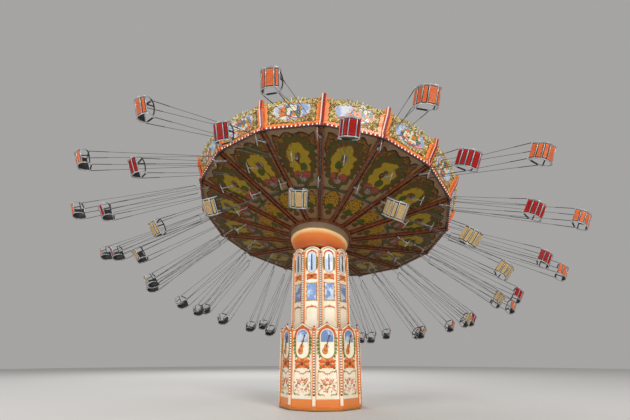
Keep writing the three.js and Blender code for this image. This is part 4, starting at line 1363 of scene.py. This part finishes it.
def seatShell(bm, length):
    # two side loops, the rails that join them at each bend, and a coloured panel between every two rails
    r, share = chair["tubeRadius"], chair["soften"]
    middle = chair["half"] - chair["loop"] / 2
    line = insetLine(chair["side"], r)
    for hand in (-1, 1):
        loop = [Vector((hand * middle, p.x, p.y - length)) for p in line]
        tube(bm, softLine(loop, 2, True, share), r, 7, 0, closed=True)
    bends = chair["bends"]
    for i in range(bends):
        here = (line[i] * (2 - 2 * share) + line[i - 1] * share + line[i + 1] * share) / 2
        across = [Vector((x * middle, here.x, here.y - length)) for x in (-1, 0, 1)]
        tube(bm, across, chair["railRadius"], 7, 0)
    inner = insetLine(chair["side"], r + 0.004)
    run = 0.0
    for a, b in zip(inner[:bends - 1], inner[1:bends]):
        along = Vector((0, *(b - a).normalized()))
        inward = Vector((1, 0, 0)).cross(along)
        size = (b - a).length - 2 * chair["panelGap"]
        centre = Vector((0, *((a + b) / 2))) - Vector((0, 0, length))
        turn = Matrix((Vector((1, 0, 0)), along, inward)).transposed()
        verts = block(bm, centre, (2 * chair["panelHalf"], size, chair["panelThick"]), 1, 0.002, turn)
        start = centre - along * (size / 2)
        layMap(bm, {f for v in verts for f in v.link_faces}, lambda co: (co.x, (co - start).dot(along) + run))
        run += size + 0.05
    lining = insetLine(chair["side"], chair["liningIn"])[:bends]
    verts = [bm.verts.new((-chair["liningHalf"], p.x, p.y - length)) for p in softLine(lining, 1)]
    edges = [bm.edges.new(pair) for pair in zip(verts, verts[1:])]
    made = bmesh.ops.extrude_edge_only(bm, edges=edges)
    moved = only(made, bmesh.types.BMVert)
    bmesh.ops.translate(bm, verts=moved, vec=(2 * chair["liningHalf"], 0, 0))
    faces = list({f for v in verts + moved for f in v.link_faces})
    bmesh.ops.recalc_face_normals(bm, faces=faces)
    made = bmesh.ops.solidify(bm, geom=faces, thickness=0.008)
    mark(verts + moved + only(made, bmesh.types.BMVert), 2)


def makeChairTemplate(row):
    bm = bmesh.new()
    length = row["length"]
    r = chair["tubeRadius"]
    middle = chair["half"] - chair["loop"] / 2
    (backY, backZ), (armY, armZ) = chair["side"][0], chair["side"][-1]

    def armTop(y):
        return backZ + (armZ - backZ) * (y - backY) / (armY - backY) - r - length

    seatShell(bm, length)
    # arm grips, the bowed lap bar with its collars, and the strap from it to the front rail
    lapY, lapZ = chair["lapBar"][0], chair["lapBar"][1] - length
    bow = [Vector((x * middle, lapY + 0.05 * (1 - x * x), lapZ + 0.016 * (1 - x * x)))
           for x in (-1, -0.7, -0.35, 0, 0.35, 0.7, 1)]
    tube(bm, bow, r, 8, 2)
    for hand in (-1, 1):
        grip = [Vector((hand * middle, y, armTop(y))) for y in (0.06, -0.05, -0.17)]
        tube(bm, grip, r + 0.005, 8, 2)
        ball(bm, (hand * middle, lapY, lapZ), r + 0.008, 0, 1)
    lipY, lipZ = chair["side"][chair["bends"] - 1]
    strap = [Vector((0, lapY + 0.05, lapZ + 0.012)), Vector((0, 0.203, -0.02 - length)),
             Vector((0, lipY - 0.02, lipZ - length + 0.012))]
    tube(bm, softLine(strap, 1), 0.019, 6, 2, flat=0.4)
    # fork, hanger rod, spreader with eyes, and four lines with dark sleeves at the seat
    drop, reach = chair["hangerDrop"], chair["spreader"]
    for hand in (-1, 1):
        block(bm, (0, hand * 0.0178, -0.04), (0.046, 0.0085, 0.124), 4, 0.003)
    block(bm, (0, 0, -0.085), (0.046, 0.044, 0.022), 4, 0.004)
    tube(bm, [(0, -0.026, 0), (0, 0.026, 0)], 0.009, 8, 4)
    rod = [(0, 0, z) for z in (-0.09, -0.2, -drop + 0.02, -drop)]
    tube(bm, rod, 0.012, 8, 4, taper=[1.2, 1, 1, 1.15])
    tube(bm, [(x * (reach - 0.004), 0, -drop - 0.001) for x in (-1, -0.5, 0, 0.5, 1)], 0.0135, 8, 4)
    for hand in (-1, 1):
        ball(bm, (hand * (reach - 0.016), 0, -drop - 0.002), 0.017, 4, 1)
        for y in chair["chainFeet"]:
            start = Vector((hand * (reach - 0.014), y * 0.03, -drop - 0.004))
            end = Vector((hand * middle, y, armTop(y)))
            split = end.lerp(start, chair["sleeve"] / (end - start).length)
            known = len(bm.faces)
            tube(bm, [start, start.lerp(split, 0.5), split], chair["chainRadius"], 5, 3)
            bm.faces.ensure_lookup_table()
            layMap(bm, bm.faces[known:], lambda co: (0, co.z))
            tube(bm, [split, split.lerp(end, 0.5), end], 0.009, 6, 2)
            ball(bm, end, 0.016, 0, 1)
    return bm


def makeChairs():
    for rowName, row in rows.items():
        bm = makeChairTemplate(row)
        template = bpy.data.meshes.new(f"{rowName}Chair")
        bm.to_mesh(template)
        bm.free()
        template.uv_layers[0].name = "wrap"
        for paintName in ("steel", f"{rowName}Seat", "blackGrip", "chain", "zinc"):
            template.materials.append(paints[paintName])
        for i, place in enumerate(hangerPlaces(row)):
            node = f"chair_{rowName}_{i + 1:02d}"
            mesh = template.copy()
            mesh.transform(place)
            piece = bpy.data.objects.new(f"{rowName}Chair{i + 1:02d}", mesh)
            bpy.context.scene.collection.objects.link(piece)
            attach(piece, node)
            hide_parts(node)


makeChairs()
print("chairs made")


# Floor, lights and the camera at the photo's place
studio = {
    "cameraPlace": (0, -14.55, 1.58), "yaw": -0.82, "pitch": 21.01, "focal": 382, "frameWidth": 630,
    "floor": (0.68, 0.67, 0.65), "air": (0.82, 0.81, 0.79), "airStrength": 0.46,
    "key": ((17, -33, 22), 14, 9100), "fill": ((-24, -22, 15), 16, 3400), "back": ((-8, 28, 25), 16, 5000),
    "under": ((0, -6.5, 0.1), 8, 130),
}


def makeStudio():
    floor = bmesh.new()
    bmesh.ops.create_circle(floor, cap_ends=True, segments=96, radius=60)
    bmesh.ops.translate(floor, verts=floor.verts, vec=(0, 0, -0.002))
    mesh = bpy.data.meshes.new("studioFloor")
    floor.to_mesh(mesh)
    floor.free()
    plain = Paint("studioFloor", Base_Color=(*studio["floor"], 1), Roughness=0.9)
    mesh.materials.append(plain.material)
    ground = bpy.data.objects.new("studioFloor", mesh)
    bpy.context.scene.collection.objects.link(ground)
    bpy.context.scene.view_settings.view_transform = "Standard"  # paint keeps the colour that it is given
    world = bpy.data.worlds.new("studioAir")
    world.use_nodes = True
    air = world.node_tree.nodes["Background"].inputs
    air["Color"].default_value = (*studio["air"], 1)
    air["Strength"].default_value = studio["airStrength"]
    bpy.context.scene.world = world
    for name in ("key", "fill", "back", "under"):
        place, size, power = studio[name]
        light = bpy.data.lights.new(name + "Light", "AREA")
        light.size = size
        light.energy = power
        lamp = bpy.data.objects.new(name + "Light", light)
        lamp.location = place
        aim = Vector((0, 0, 1)) if name == "under" else Vector((0, 0, 4.5)) - Vector(place)
        lamp.rotation_mode = "QUATERNION"
        lamp.rotation_quaternion = aim.to_track_quat("-Z", "Y")
        lamp.visible_camera = False
        bpy.context.scene.collection.objects.link(lamp)
    camera = bpy.data.cameras.new("photoCamera")
    camera.sensor_width = 36
    camera.lens = studio["focal"] / studio["frameWidth"] * 36
    camera.clip_end = 300
    viewer = bpy.data.objects.new("photoCamera", camera)
    yaw, pitch = math.radians(studio["yaw"]), math.radians(studio["pitch"])
    look = Vector((math.sin(yaw) * math.cos(pitch), math.cos(yaw) * math.cos(pitch), math.sin(pitch)))
    viewer.location = studio["cameraPlace"]
    viewer.rotation_mode = "QUATERNION"
    viewer.rotation_quaternion = look.to_track_quat("-Z", "Y")
    bpy.context.scene.collection.objects.link(viewer)
    bpy.context.scene.camera = viewer


makeStudio()
